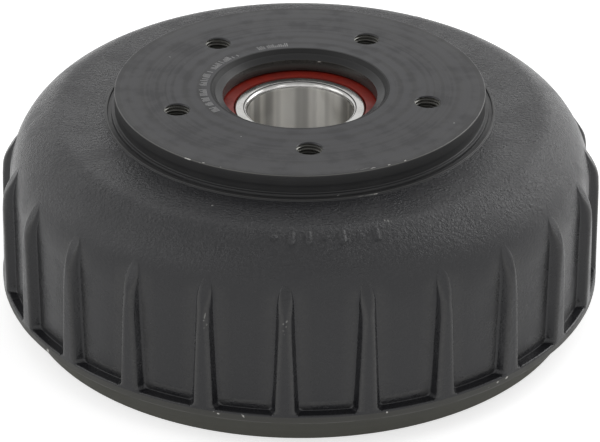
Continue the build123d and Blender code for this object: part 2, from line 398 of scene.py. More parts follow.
@dataclass(frozen=True)
class CoatedCasting:
    """Satin black coat on a sand-cast skin. Sizes, heights and depths are millimetres.

    Attributes:
        name: The material's name.
        colour: Colour of the coat.
        dust: Colour of the dust in it.
        peaks: Colour on top of the sand grain.
        worn_and_highlight: Colour where an edge is thin from rubbing, and of its painted highlight.
        gloss_low: Roughness where the coat is smoothest.
        gloss_high: Roughness where it is dullest.
        grain_size: Size of the sand grain.
        grain_depth: Relief of the grain on the dome and shoulder.
        wall_depth: Relief of the grain on the walls.
        dome_rise: Heights between which the walls' grain becomes the dome's.
        swell_size: Size of the slow unevenness.
        swell_depth: Its relief.
        smudge_size: Size of the smudges.
        pit_dust: Share of dust in the pits.
        speck_dust: Share of dust in the specks.
        peak_share: Share of the peaks' colour on the dome.
        peak_range: Grain heights between which the peaks show.
        rub_range: Grain heights between which rubbing and the painted highlights take hold.
        rub_floor: How much it takes hold in the hollows.
        index: Refractive index of the coat.
    """

    name: str = "coated_casting"
    colour: Colour = (0.0120, 0.0122, 0.0144)
    dust: Colour = (0.05, 0.048, 0.046)
    peaks: Colour = (0.034, 0.034, 0.037)
    worn_and_highlight: Colour = (0.060, 0.059, 0.057)
    gloss_low: float = 0.22
    gloss_high: float = 0.34
    grain_size: float = 1.35
    grain_depth: float = 0.85
    wall_depth: float = 0.20
    dome_rise: Point = (70.0, 84.0)
    swell_size: float = 24.0
    swell_depth: float = 0.7
    smudge_size: float = 18.0
    pit_dust: float = 0.35
    speck_dust: float = 0.25
    peak_share: float = 0.6
    peak_range: Point = (0.46, 0.66)
    rub_range: Point = (0.38, 0.56)
    rub_floor: float = 0.55
    index: float = 1.50

    def make(self, effects: Effects) -> Material:
        """Builds the material.

        Args:
            effects: The shared effects.

        Returns:
            The material.
        """
        material, tree, shader = new_material(self.name)
        polar = effects.use(tree, "polar")
        grain = effects.use(tree, "cast_grain", Size=self.grain_size)
        swell = effects.use(tree, "unevenness", Size=self.swell_size)
        smudge = effects.use(tree, "smudges", Size=self.smudge_size)
        on_dome = tree.ramp(polar.outputs["Height"], *self.dome_rise)
        on_wall = self.wall_depth / self.grain_depth
        share = tree.plus(tree.times(on_dome, 1 - on_wall), on_wall)
        relief = tree.times(grain.outputs["Height"], share)
        slow = tree.bump(swell.outputs["Height"], self.swell_depth * MM)
        tree.feed(shader.inputs["Normal"], tree.bump(relief, self.grain_depth * MM, slow))
        dirt = tree.times(grain.outputs["Pits"], self.pit_dust)
        dusty = tree.plus(dirt, tree.times(smudge.outputs["Specks"], self.speck_dust), clamp=True)
        # painted highlights and rubbing: the edge mask lightens the coat along crests, rib feet,
        # ledges and ring edges
        hold = tree.ramp(grain.outputs["Height"], *self.rub_range, self.rub_floor, 1.0)
        rubbed_and_highlight = effects.use(tree, "edge_wear_and_highlight", Hold=hold).outputs["Mask"]
        skin = tree.mix(dusty, self.colour, self.dust)
        tops = tree.ramp(grain.outputs["Height"], *self.peak_range)
        skin = tree.mix(tree.times(tops, tree.times(share, self.peak_share)), skin, self.peaks)
        tree.feed(shader.inputs["Base Color"], tree.mix(rubbed_and_highlight, skin, self.worn_and_highlight))
        gloss = (0.0, 1.0, self.gloss_low, self.gloss_high)
        tree.feed(shader.inputs["Roughness"], tree.ramp(smudge.outputs["Patches"], *gloss))
        shader.inputs["IOR"].default_value = self.index
        return material


@dataclass(frozen=True)
class TurnedFace:
    """A turned face under a thin dark coat, with fine rings. Sizes and depths are millimetres.

    Attributes:
        name: The material's name.
        colour: Colour of the face.
        bright: Colour where the tool lines show brighter.
        worn_and_highlight: Colour where an edge is thin from rubbing, and of its painted highlight.
        along_radius: Whether the tool moved along the radius, or else along the axis.
        pitch: Distance of the lines.
        depth: Relief of the lines.
        gloss_low: Roughness where the face is smoothest.
        gloss_high: Roughness where it is dullest.
        metallic: How much bare metal shows.
        index: Refractive index of the coat.
        smudge_size: Size of the smudges.
        swell_size: Size of the slow unevenness.
        swell_depth: Its relief.
        line_share: How much the lines change the colour.
        speck_share: How much the specks change it.
        line_dull: How much the lines dull the face.
        smudge_dull: How much the smudges dull it.
    """

    name: str = "turned_wheel_face"
    colour: Colour = (0.0082, 0.0083, 0.0122)
    bright: Colour = (0.030, 0.0295, 0.029)
    worn_and_highlight: Colour = (0.085, 0.084, 0.082)
    along_radius: bool = True
    pitch: float = 0.35
    depth: float = 0.012
    gloss_low: float = 0.30
    gloss_high: float = 0.52
    metallic: float = 0.0
    index: float = 1.47
    smudge_size: float = 11.0
    swell_size: float = 30.0
    swell_depth: float = 0.05
    line_share: float = 0.55
    speck_share: float = 0.3
    line_dull: float = 0.6
    smudge_dull: float = 0.4

    def make(self, effects: Effects) -> Material:
        """Builds the material.

        Args:
            effects: The shared effects.

        Returns:
            The material.
        """
        material, tree, shader = new_material(self.name)
        polar = effects.use(tree, "polar")
        travel = polar.outputs["Radius" if self.along_radius else "Height"]
        marks = effects.use(tree, "tool_marks", Travel=travel, Pitch=self.pitch)
        smudge = effects.use(tree, "smudges", Size=self.smudge_size)
        swell = effects.use(tree, "unevenness", Size=self.swell_size)
        slow = tree.bump(swell.outputs["Height"], self.swell_depth * MM)
        lines = tree.bump(marks.outputs["Height"], self.depth * MM, slow)
        tree.feed(shader.inputs["Normal"], lines)
        bands = tree.times(marks.outputs["Bands"], self.line_share)
        specks = tree.times(smudge.outputs["Specks"], self.speck_share)
        skin = tree.mix(tree.plus(bands, specks, clamp=True), self.colour, self.bright)
        # painted highlights and rubbing: the edge mask lightens the turned faces at their edges
        rubbed_and_highlight = effects.use(tree, "edge_wear_and_highlight").outputs["Mask"]
        tree.feed(shader.inputs["Base Color"], tree.mix(rubbed_and_highlight, skin, self.worn_and_highlight))
        patchy = tree.times(smudge.outputs["Patches"], self.smudge_dull)
        dull = tree.plus(patchy, tree.times(marks.outputs["Bands"], self.line_dull))
        rough = tree.ramp(dull, 0.0, 1.0, self.gloss_low, self.gloss_high)
        tree.feed(shader.inputs["Roughness"], rough)
        shader.inputs["Metallic"].default_value = self.metallic
        shader.inputs["IOR"].default_value = self.index
        return material


@dataclass(frozen=True)
class GroundSteel:
    """Hardened and ground bearing steel, with fine lines. Sizes and depths are millimetres.

    Attributes:
        name: The material's name.
        colour: Colour of the steel.
        shade: Colour where an oil film lies on it, and of the dark painted streaks in a bore.
        pitch: Distance of the lines.
        depth: Relief of the lines.
        gloss_low: Roughness where the steel is brightest.
        gloss_high: Roughness under the oil film.
        brushed: How far reflections are drawn out across the grinding lines.
        bore: Radius of a bore with painted reflection streaks along its axis, or 0 for none.
        honed_sheen: Bright colour of those painted reflection streaks.
        honed_gloss: How much duller the bore is.
        bands: How many painted reflection streaks each radian of the bore has.
        band_range: Noise values between which a band is full and gone.
        smudge_size: Size of the oil film's patches.
        film_share: How much the film shows.
        line_dull: How much the lines dull the steel.
    """

    name: str
    colour: Colour
    shade: Colour
    pitch: float = 0.12
    depth: float = 0.002
    gloss_low: float = 0.20
    gloss_high: float = 0.34
    brushed: float = 0.0
    bore: float = 0.0
    honed_sheen: Colour = (0.78, 0.765, 0.725)
    honed_gloss: float = 0.24
    bands: float = 3.0
    band_range: Point = (0.62, 0.40)
    smudge_size: float = 9.0
    film_share: float = 0.6
    line_dull: float = 0.4

    def make(self, effects: Effects) -> Material:
        """Builds the material.

        Args:
            effects: The shared effects.

        Returns:
            The material.
        """
        material, tree, shader = new_material(self.name)
        polar = effects.use(tree, "polar")
        travel = tree.plus(polar.outputs["Radius"], polar.outputs["Height"])
        marks = effects.use(tree, "tool_marks", Travel=travel, Pitch=self.pitch)
        smudge = effects.use(tree, "smudges", Size=self.smudge_size)
        film = tree.times(smudge.outputs["Patches"], self.film_share)
        lines = tree.bump(marks.outputs["Height"], self.depth * MM)
        tree.feed(shader.inputs["Normal"], lines)
        steel = tree.mix(film, self.colour, self.shade)
        # painted reflection: streaks along the bore's axis that stand in for reflections of the
        # lamps
        if self.bore:
            inside = tree.ramp(polar.outputs["Radius"], self.bore + 0.15, self.bore + 0.02)
            wide = tree.line_noise(polar.outputs["Turn"], self.bands, 1.0)
            honed_sheen = tree.mix(tree.ramp(wide, *self.band_range), self.shade, self.honed_sheen)
            steel = tree.mix(inside, steel, honed_sheen)
        tree.feed(shader.inputs["Base Color"], steel)
        dull = tree.plus(film, tree.times(marks.outputs["Bands"], self.line_dull))
        rough = tree.ramp(dull, 0.0, 1.0, self.gloss_low, self.gloss_high)
        if self.bore:
            rough = tree.plus(rough, tree.times(inside, self.honed_gloss))
        tree.feed(shader.inputs["Roughness"], rough)
        shader.inputs["Metallic"].default_value = 1.0
        if self.brushed:
            shader.inputs["Anisotropic"].default_value = self.brushed
            shader.inputs["Anisotropic Rotation"].default_value = 0.25
            round_axis = tree.add("Tangent", direction_type="RADIAL", axis="Z")
            tree.feed(shader.inputs["Tangent"], round_axis.outputs[0])
        return material


@dataclass(frozen=True)
class MouldedSkin:
    """Rubber, polymer or dried dirt with an eggshell skin. Sizes and depths are millimetres.

    Attributes:
        name: The material's name.
        colour: Colour of the skin.
        shade: Colour of its darker patches.
        roughness: Its usual roughness.
        grain_size: Size of the skin's grain.
        grain_depth: Relief of the grain.
        patch_size: Size of the patches.
        gloss_span: How far the roughness falls below and rises above the usual one.
    """

    name: str
    colour: Colour
    shade: Colour
    roughness: float
    grain_size: float = 0.5
    grain_depth: float = 0.01
    patch_size: float = 7.0
    gloss_span: Point = (-0.06, 0.08)

    def make(self, effects: Effects) -> Material:
        """Builds the material.

        Args:
            effects: The shared effects.

        Returns:
            The material.
        """
        material, tree, shader = new_material(self.name)
        grain = effects.use(tree, "cast_grain", Size=self.grain_size)
        smudge = effects.use(tree, "smudges", Size=self.patch_size)
        patches = smudge.outputs["Patches"]
        skin = tree.bump(grain.outputs["Height"], self.grain_depth * MM)
        tree.feed(shader.inputs["Normal"], skin)
        tree.feed(shader.inputs["Base Color"], tree.mix(patches, self.colour, self.shade))
        low, high = (self.roughness + change for change in self.gloss_span)
        tree.feed(shader.inputs["Roughness"], tree.ramp(patches, 0.0, 1.0, low, high))
        return material


# ---------------------------------------------------------------- mesh tools


class Skin(IntEnum):
    """The finishes of the drum casting, as slots of its mesh."""

    CAST = 0
    FACE = 1
    BAND = 2
    SEAT = 3
    FRICTION = 4
    LIP = 5
    STEP = 6
    CAP_SEAT = 7
    MOUTH_EDGE = 8


@dataclass
class Shell:
    """Collects the points and faces of one mesh, in millimetres.

    Attributes:
        points: Blocks of points.
        faces: Faces as tuples of point numbers.
        slots: The material slot of each face.
        wear_and_highlight: How far each point is lightened by rubbing and by painted highlights, in
            blocks as the points are.
        count: How many points there are so far.
    """

    points: list[np.ndarray] = field(default_factory=list)
    faces: list[tuple[int, ...]] = field(default_factory=list)
    slots: list[int] = field(default_factory=list)
    wear_and_highlight: list[np.ndarray] = field(default_factory=list)
    count: int = 0

    def add_points(self, points: np.ndarray, wear_and_highlight: np.ndarray | float = 0.0) -> int:
        """Adds points.

        Args:
            points: Rows of x, y and z.
            wear_and_highlight: How far each point is lightened by rubbing and painted highlights,
                from 0 to 1.

        Returns:
            The number of the first one.
        """
        first = self.count
        self.points.append(np.asarray(points, float).reshape(-1, 3))
        self.count += len(self.points[-1])
        self.wear_and_highlight.append(np.broadcast_to(np.ravel(wear_and_highlight), self.count - first))
        return first

    def add_grid(self, grid: np.ndarray, slots: Sequence[int], shift: int = 0,
                 wear_and_highlight: np.ndarray | float = 0.0) -> None:
        """Adds a closed band of rows that runs round an axis, without the faces that have no area.

        Args:
            grid: Points as rows by columns by three, columns counterclockwise from above.
            slots: The slot of each gap between two rows.
            shift: Rows that the last column is ahead by when it meets the first, as in a thread.
            wear_and_highlight: How far each point is lightened by rubbing and painted highlights.
        """
        rows, columns, _ = grid.shape
        first = self.add_points(grid, wear_and_highlight)
        row, column = np.meshgrid(np.arange(rows - 1), np.arange(columns), indexing="ij")
        last = column == columns - 1
        here = row * columns + column
        beside = np.where(last, (row + shift) * columns, here + 1)
        faces = np.stack([here, beside, beside + columns, here + columns], 2)
        kept = ~last | ((row + shift >= 0) & (row + 1 + shift < rows))
        faces = faces[kept]
        flat = grid.reshape(-1, 3)
        corners = flat[np.minimum(faces, len(flat) - 1)]
        across = np.cross(corners[:, 2] - corners[:, 0], corners[:, 3] - corners[:, 1])
        solid = np.linalg.norm(across, axis=1) > NO_AREA
        self.faces += [tuple(face) for face in (faces[solid] + first).tolist()]
        self.slots += np.asarray(slots)[row[kept][solid]].tolist()

    def add_cap(self, size: int) -> None:
        """Closes the last ring of points, of the size given, with one face."""
        self.faces.append(tuple(range(self.count - size, self.count)))
        self.slots.append(0)

    def add_plate(self, rings: Sequence[tuple[Point, float, int]],
                  spare: Sequence[tuple[float, int]], height: float, upward: bool, slot: int,
                  wear_and_highlight: Sequence[Point] = ((0.0, 0.0),)) -> None:
        """Adds a flat plate round the axis, with holes.

        Args:
            rings: Circles as centre, radius and point count: the outer edge first, then the holes.
            spare: Helper circles round the axis as radius and count, which keep the faces even.
            height: The height of the plate.
            upward: Whether it looks up.
            slot: Its material slot.
            wear_and_highlight: How far it is lightened by rubbing and painted highlights, as radius
                and value.
        """
        places: list[Vector] = []
        edges: list[tuple[int, int]] = []
        for (x, y), radius, count in rings:
            first = len(places)
            for step in range(count):
                angle = 2 * math.pi * step / count + PHASE
                spoke = Vector((radius * math.cos(angle), radius * math.sin(angle)))
                places.append(Vector((x, y)) + spoke)
                edges.append((first + step, first + (step + 1) % count))
        for radius, count in spare:
            for step in range(count):
                angle = 2 * math.pi * step / count
                spot = Vector((radius * math.cos(angle), radius * math.sin(angle)))
                if all((spot - Vector(c)).length > r + HOLE_MARGIN for c, r, _ in rings[1:]):
                    places.append(spot)
        found = geometry.delaunay_2d_cdt(places, edges, [], 0, 1e-6)
        spots, triangles = found[0], found[2]
        worn_and_highlight = np.interp([p.length for p in spots], *zip(*wear_and_highlight))
        first = self.add_points(np.array([(p.x, p.y, height) for p in spots]), worn_and_highlight)
        for triangle in triangles:
            middle = sum((spots[i] for i in triangle), Vector((0, 0))) / 3
            if any((middle - Vector(c)).length < r for c, r, _ in rings[1:]):
                continue
            corners = [first + i for i in triangle]
            a, b, c = (spots[i] for i in triangle)
            if ((b - a).cross(c - a) > 0) != upward:
                corners.reverse()
            self.faces.append(tuple(corners))
            self.slots.append(slot)

    def make(self, name: str, materials: Sequence[Material], sharp: float = 30.0) -> Object:
        """Makes the mesh object.

        Args:
            name: The object's name.
            materials: Its material slots.
            sharp: Edges that turn more than this stay sharp.

        Returns:
            The object, linked into the scene.
        """
        mesh = bpy.data.meshes.new(name)
        mesh.from_pydata((np.concatenate(self.points) * MM).tolist(), [], self.faces)
        for material in materials:
            mesh.materials.append(material)
        mesh.polygons.foreach_set("material_index", self.slots)
        # each point's rubbing and painted-highlight value, read by the edge mask
        worn_and_highlight = mesh.attributes.new("wear_and_highlight", "FLOAT", "POINT")
        worn_and_highlight.data.foreach_set("value", np.concatenate(self.wear_and_highlight).astype(np.float32))
        mesh.shade_smooth()
        mesh.set_sharp_from_angle(angle=math.radians(sharp))
        mesh.validate()
        made = bpy.data.objects.new(name, mesh)
        bpy.context.scene.collection.objects.link(made)
        return made


def arc(centre: Point, radius: float, start: float, end: float, steps: int) -> list[Point]:
    """Divides an arc.

    Args:
        centre: Its centre.
        radius: Its radius.
        start: The angle where it starts.
        end: The angle where it ends.
        steps: How many chords it gets.

    Returns:
        The points, both ends included.
    """
    angles = np.radians(np.linspace(start, end, steps + 1))
    return [(centre[0] + radius * math.cos(a), centre[1] + radius * math.sin(a)) for a in angles]


def softened(corners: Sequence[Corner], steps: int = 4) -> list[Point]:
    """Rounds the corners of a polyline.

    Args:
        corners: Points as x, y and the radius of the corner there, 0 for a sharp one.
        steps: How many chords a rounded corner gets.

    Returns:
        The rounded polyline.
    """
    line: list[Point] = [corners[0][:2]]
    for before, corner, after in zip(corners, corners[1:], corners[2:]):
        here, radius = np.array(corner[:2]), corner[2]
        if not radius:
            line.append(corner[:2])
            continue
        back, ahead = np.array(before[:2]) - here, np.array(after[:2]) - here
        back, ahead = back / np.linalg.norm(back), ahead / np.linalg.norm(ahead)
        half = math.acos(float(np.clip(back @ ahead, -1, 1))) / 2
        bisector = (back + ahead) / np.linalg.norm(back + ahead)
        centre = here + bisector * radius / math.sin(half)
        reach = radius / math.tan(half)
        first, last = here + back * reach - centre, here + ahead * reach - centre
        for share in np.linspace(0, 1, steps + 1):
            spoke = first * (1 - share) + last * share
            line.append(tuple(centre + spoke / np.linalg.norm(spoke) * radius))
    line.append(corners[-1][:2])
    return line


def divided(line: Sequence[Point], longest: Callable[[Point], float]) -> list[Point]:
    """Divides the long runs of a polyline.

    Args:
        line: The polyline.
        longest: Gives the longest chord allowed at a point.

    Returns:
        The polyline with more points.
    """
    made = [line[0]]
    for start, end in zip(line, line[1:]):
        middle = ((start[0] + end[0]) / 2, (start[1] + end[1]) / 2)
        count = max(1, math.ceil(math.dist(start, end) / longest(middle)))
        for share in np.arange(1, count + 1) / count:
            made.append(tuple(a + (b - a) * share for a, b in zip(start, end)))
    return made


def turned(line: Sequence[Point], columns: int) -> np.ndarray:
    """Turns a profile round the wheel axis.

    Args:
        line: Points as radius and height.
        columns: How many places round the axis.

    Returns:
        Points as rows by columns by three.
    """
    angles = np.arange(columns) * 2 * math.pi / columns + PHASE
    radii, heights = np.array(line).T
    return np.stack([np.outer(radii, np.cos(angles)), np.outer(radii, np.sin(angles)),
                     np.repeat(heights[:, None], columns, 1)], 2)


# ---------------------------------------------------------------- drum casting


@dataclass
class DrumCasting:
    """The ribbed drum with its wheel boss and hub, in one casting.

    Attributes:
        brake_radius: The friction surface.
        lip_radius: The turned lip at the open rim.
        lip_height: Height of the lip.
        band_top: Top of the cast band over the lip.
        wall_radius: Foot of the wall between the ribs.
        crest_radius: Foot of the rib crests.
        draft: Slope of the wall.
        ribs: How many ribs there are.
        crest_half: Half the width of a crest at its foot.
        flank: Slope of a rib's flanks.
        taper: How much each side of a rib closes in towards the wheel face.
        foot_fillet: Radius between rib and wall.
        crest_edge: Radius along a crest's edges at its foot.
        nose_edge: That radius at its upper end.
        nose_length: Run over which the one becomes the other.
        pocket_fillet: Radius between the wall and a pocket's floor.
        fine_top: How far up from a pocket's floor the mesh is fine.
        pocket_corner: Radius of a pocket's lower corners.
        root_radius: Where the width of the ribs is measured.
        crest_top: Where the straight crest ends.
        crest_bend: How softly it bends down to the dome there.
        crest_least: Half the least width of a crest.
        foot_flat: Flat beside a rib's fillet.
        tip_height: Where a rib runs out on the dome.
        ease_length: Run over which the mesh columns become even above it.
        dome_centre: Centre of the dome's arc.
        dome_radius: Radius of that arc.
        blend_radius: Radius between dome and shoulder.
        shoulder: Height of the cast shoulder.
        boss_foot: The turned ring and groove between shoulder and boss.
        boss_radius: The wheel face.
        face: Height of the wheel face.
        face_edge: Width of the ring that joins the wheel face to its rounded edge.
        worn_and_highlight_rings: Radius, height, reach and value of each edge lightened all round,
            as painted edge highlights.
        crest_wear_and_highlight: How far the mesh columns over a crest's edge are lightened, by
            rubbing and painted highlight.
        foot_highlight: Painted highlight on the columns along a rib's foot.
        ledge_highlight: Painted highlight on the strip over a pocket's floor, and on the lip's upper
            edge.
        mouth_rim: Inner edge of the wheel face.
        mouth: Profile of the mouth, from the face down to the bearing.
        bearing_stop: Height of the bearing's upper end.
        bearing_radius: The bearing's seat.
        bearing_low: Height of the bearing's lower end.
        groove_low: Lower side of the retaining ring's groove.
        groove_radius: Bottom of that groove.
        hub_radius: Outside of the hub.
        hub_end: Lower end of the hub.
        hub_chamfer: Width of its chamfer and of its rounded outer edge.
        hub_fillet: Radius between hub and web.
        hub_flat: Width of the web's inner edge.
        web: Height of the web's underside.
        inner_corner: Radius between web and friction surface.
        relief: Depth of the turned relief over the friction surface.
        friction_top: Height of the friction surface's upper edge.
        rim_chamfer: Width of the chamfer at the open rim.
        bolt_circle: Radius of the wheel bolt circle.
        bolt_phase: Direction of the first bolt hole.
        thread_radius: Root of the bolt thread.
        countersink: Radius of the bolt holes at the face.
        half_columns: Mesh columns in half a rib and its pocket.
        face_helpers: Radius and count of the circles of helper points in the wheel face.
        web_helpers: Those in the web.
        face_highlight: Radius and painted highlight of the wheel face, lighter towards its outer
            edge.
        bore_chord: The longest chord along the mouth, the bore and the hub.
        least_rise: A crest that stands less than this over its pocket is taken as flat.
    """

    brake_radius: float = 115.0
    lip_radius: float = 121.3
    lip_height: float = 13.2
    band_top: float = 17.0
    wall_radius: float = 126.4
    crest_radius: float = 130.7
    draft: float = 0.9
    ribs: int = 24
    crest_half: float = 3.55
    flank: float = 19.0
    taper: float = 2.6
    foot_fillet: float = 1.1
    crest_edge: float = 1.8
    nose_edge: float = 3.0
    nose_length: float = 14.0
    pocket_fillet: float = 0.25
    fine_top: float = 22.0
    pocket_corner: float = 2.0
    root_radius: float = 120.7
    crest_top: float = 63.1
    crest_bend: float = 1.3
    crest_least: float = 0.45
    foot_flat: float = 0.8
    tip_height: float = 73.6
    ease_length: float = 9.0
    dome_centre: Point = (93.417, 60.2)
    dome_radius: float = 32.3
    blend_radius: float = 12.0
    shoulder: float = 90.3
    boss_foot: tuple[Corner, ...] = (
        (83.7, 90.3, 0.3), (83.7, 91.0, 0.25), (82.75, 91.0, 0.1), (82.6, 90.35, 0.05),
        (81.2, 90.35, 0.05), (81.0, 91.8, 0.2), (79.6, 91.8, 0.25))
    boss_radius: float = 79.6
    face: float = FACE_HEIGHT
    face_edge: float = 1.0
    worn_and_highlight_rings: tuple[tuple[float, float, float, float], ...] = (
        (79.6, 100.0, 0.42, 0.9), (78.6, 100.0, 0.1, 0.16), (83.65, 91.0, 0.25, 0.15))
    crest_wear_and_highlight: tuple[float, ...] = (0.3, 0.6, 0.35, 0.0)
    foot_highlight: tuple[float, ...] = (0.2, 0.3)
    ledge_highlight: float = 0.45
    mouth_rim: float = 38.6
    mouth: tuple[Corner, ...] = ((37.8, 100.0, 0.12), (36.4, 98.3, 0.15), (33.2, 96.75, 0.2))
    bearing_stop: float = 91.6
    bearing_radius: float = 40.0
    bearing_low: float = 50.6
    groove_low: float = 47.95
    groove_radius: float = 41.5
    hub_radius: float = 47.0
    hub_end: float = 44.35
    hub_chamfer: float = 1.2
    hub_fillet: float = 3.0
    hub_flat: float = 4.0
    web: float = 82.0
    inner_corner: float = 15.0
    relief: float = 0.8
    friction_top: float = 63.5
    rim_chamfer: float = 2.0
    bolt_circle: float = 56.0
    bolt_phase: float = 58.2
    thread_radius: float = THREAD_ROOT
    countersink: float = COUNTERSINK
    half_columns: int = 13
    face_helpers: tuple[tuple[float, int], ...] = (
        (43, 96), (49, 120), (56, 120), (63, 144), (70, 192), (75, 288))
    web_helpers: tuple[tuple[float, int], ...] = (
        (56, 96), (66, 120), (76, 144), (86, 192), (93, 288))
    face_highlight: tuple[Point, ...] = ((62.0, 0.0), (75.0, 0.08))
    bore_chord: float = 12.0
    least_rise: float = 1e-3

    def bolt_places(self) -> list[Point]:
        """Returns the centres of the wheel bolt holes."""
        angles = [math.radians(self.bolt_phase + 360 / 5 * number) for number in range(5)]
        return [(self.bolt_circle * math.cos(a), self.bolt_circle * math.sin(a)) for a in angles]

    def wall_at(self, height: float) -> float:
        """The straight wall between the ribs, and the dome over it.

        Args:
            height: Where along it.

        Returns:
            Its radius.
        """
        if height <= self.dome_centre[1]:
            return self.wall_radius - (height - self.band_top) * math.tan(math.radians(self.draft))
        rise = min(height - self.dome_centre[1], self.dome_radius)
        return self.dome_centre[0] + math.sqrt(self.dome_radius**2 - rise**2)

    def crest_at(self, height: float) -> float:
        """The line of the rib crests, which bends down and ends on the dome.

        Args:
            height: Where along it.

        Returns:
            Its radius.
        """
        slope = math.tan(math.radians(self.draft))
        straight = self.crest_radius - (height - self.band_top) * slope
        top = self.crest_radius - (self.crest_top - self.band_top) * slope
        fall = (top - self.wall_at(self.tip_height)) / (self.tip_height - self.crest_top)
        sloping = top - (height - self.crest_top) * fall
        apart = abs(straight - sloping) / self.crest_bend
        joined = min(straight, sloping) - self.crest_bend * math.log1p(math.exp(-apart))
        return max(joined, self.wall_at(height))

    def half_width(self, height: float, radius: float) -> float:
        """Half the width of a rib.

        Args:
            height: Where along the rib.
            radius: How far out.

        Returns:
            The half width, below 0 past the place where the flanks meet.
        """
        lean = math.tan(math.radians(self.flank))
        root = self.crest_half + (self.crest_radius + 1 - self.root_radius) * lean
        root -= (min(height, self.crest_top) - self.band_top) * math.tan(math.radians(self.taper))
        if height > self.crest_top:
            run = (height - self.crest_top) / (self.tip_height + 0.5 - self.crest_top)
            root *= math.sqrt(max(0.0, 1 - run * run))
        return root - (radius - self.root_radius) * lean

    def flare(self, height: float) -> float:
        """Returns how much wider a rib's foot is at a height, from the pocket's rounded corner."""
        drop = min(max(self.band_top + self.pocket_corner - height, 0.0), self.pocket_corner)
        return self.pocket_corner - math.sqrt(self.pocket_corner**2 - drop**2)

    def rib_section(self, rise: float, half: float, wider: float, edge: float, pitch_half: float
                    ) -> tuple[np.ndarray, np.ndarray]:
        """Half a rib and its pocket, cut across.

        Args:
            rise: Height of the crest over the pocket.
            half: Half the crest's width.
            wider: How much wider its foot is than the flank's slope makes it.
            edge: Radius along the crest's edge.
            pitch_half: From the middle of the rib to the middle of the pocket.

        Returns:
            The distance from the rib's middle and the height over the pocket, for each column.
        """
        slope_out = math.tan(math.radians(self.flank))
        if half < self.crest_least:
            rise = max(self.least_rise, rise - (self.crest_least - half) / slope_out)
            half = self.crest_least
        foot = half + rise * slope_out + wider
        lean = math.atan2(foot - half, rise)
        slope = math.hypot(rise, foot - half)
        reach = max(math.tan((math.pi / 2 - lean) / 2), 0.08)
        fillet = min(self.foot_fillet, 0.5 * slope / reach)
        edge = min(edge, 0.45 * slope / reach, 0.92 * half / reach)
        crest = arc((half - edge * reach, rise - edge), edge, 90, math.degrees(lean), 3)
        low = arc((foot + fillet * reach, fillet), fillet, 180 + math.degrees(lean), 270, 4)
        flat = low[-1][0] + self.foot_flat
        line = [(0.0, rise), (crest[0][0] / 2, rise), *crest, *low, (flat, 0.0)]
        line += [((flat + pitch_half) / 2, 0.0), (pitch_half, 0.0)]
        across, height = np.array(line).T
        return across, height

    def outer_profile(self) -> list[Point]:
        """The turned outline from the open rim to the wheel face, through the pockets.

        Returns:
            Points as radius and height.
        """
        wall_top = (self.wall_at(self.dome_centre[1]), self.dome_centre[1])
        lower = softened([
            (self.brake_radius + self.rim_chamfer, 0, 0), (self.lip_radius, 0, 0.6),
            (self.lip_radius, self.lip_height, 0), (self.crest_radius, self.lip_height, 0.6),
            (self.crest_radius, self.band_top, 1.0),
            (self.wall_radius, self.band_top, self.pocket_fillet),
            (self.wall_at(self.fine_top), self.fine_top, 0), (*wall_top, 0)], 6)
        across = self.dome_radius - self.blend_radius
        middle = self.shoulder - self.blend_radius
        rise = middle - self.dome_centre[1]
        turn = math.degrees(math.asin(rise / across))
        blend_centre = (self.dome_centre[0] + math.sqrt(across**2 - rise**2), middle)
        dome = arc(self.dome_centre, self.dome_radius, 0.0, turn, 30)
        blend = arc(blend_centre, self.blend_radius, turn, 90, 5)
        top = softened([(*blend[-1], 0), *self.boss_foot, (self.boss_radius, self.face, 0.45),
                        (self.boss_radius - self.face_edge, self.face, 0)], 4)
        return divided(lower + dome[1:] + blend[1:] + top[1:], self.longest_chord)

    def longest_chord(self, spot: Point) -> float:
        """Returns the longest chord that the outer outline may have at a place."""
        if self.band_top + 0.5 < spot[1] < self.fine_top - 1.0:
            return 0.6
        return 5.0 if spot[1] < self.face - 8.0 else 3.0

    def crest_for(self, spot: Point) -> tuple[Point, float]:
        """The crest point that belongs to a point of the pocket's outline.

        Args:
            spot: Radius and height of the pocket point.

        Returns:
            The crest point, and half the crest's width there.
        """
        radius, height = spot
        floor = self.band_top + self.pocket_fillet
        foot_radius = self.wall_at(floor)
        if radius > foot_radius and height < floor:
            share = (self.crest_radius - radius) / (self.crest_radius - foot_radius)
            low = min(height, self.band_top - 0.8)
            climb = low + (floor - low) * share
            half = self.half_width(max(climb, self.band_top), self.crest_radius)
            return (self.crest_radius, climb), half
        if self.band_top < height < self.tip_height:
            crest = self.crest_at(height)
            return (crest, height), self.half_width(height, crest)
        return spot, self.half_width(min(max(height, self.band_top), self.tip_height), radius)

    def edge_wear_and_highlight(self, spot: Point, rise: float) -> np.ndarray:
        """How far the columns of half a rib and its pocket are lightened, by rubbing and by painted
        highlights.

        Args:
            spot: Radius and height of the pocket point.
            rise: Height of the crest over it.

        Returns:
            How far each column is lightened, from 0 to 1.
        """
        columns = np.zeros(self.half_columns + 1)
        radius, height = spot
        # painted highlights: light lines along a crest's edges (partly rubbing) and along a rib's
        # foot
        if self.band_top + 0.4 < height < self.tip_height + 0.5:
            share = min(rise / 1.5, 1.0)
            columns[2:6] = np.array(self.crest_wear_and_highlight) * share
            columns[10:12] = np.array(self.foot_highlight) * share
        # painted highlight: a light strip over the pocket's floor
        if abs(height - self.band_top - 3.2) < 0.8 and radius < self.crest_radius - 2:
            columns[9:] = self.ledge_highlight
        # painted highlight: a light line along the lip's upper edge
        if abs(height - self.lip_height) < 0.5 and radius > self.lip_radius + 2:
            columns[:] = self.ledge_highlight
        # painted edge highlights round the wheel face's edge and the boss foot's ring
        for ring_radius, ring_height, reach, worn_and_highlight in self.worn_and_highlight_rings:
            if math.dist(spot, (ring_radius, ring_height)) < reach:
                columns[:] = worn_and_highlight
        return columns

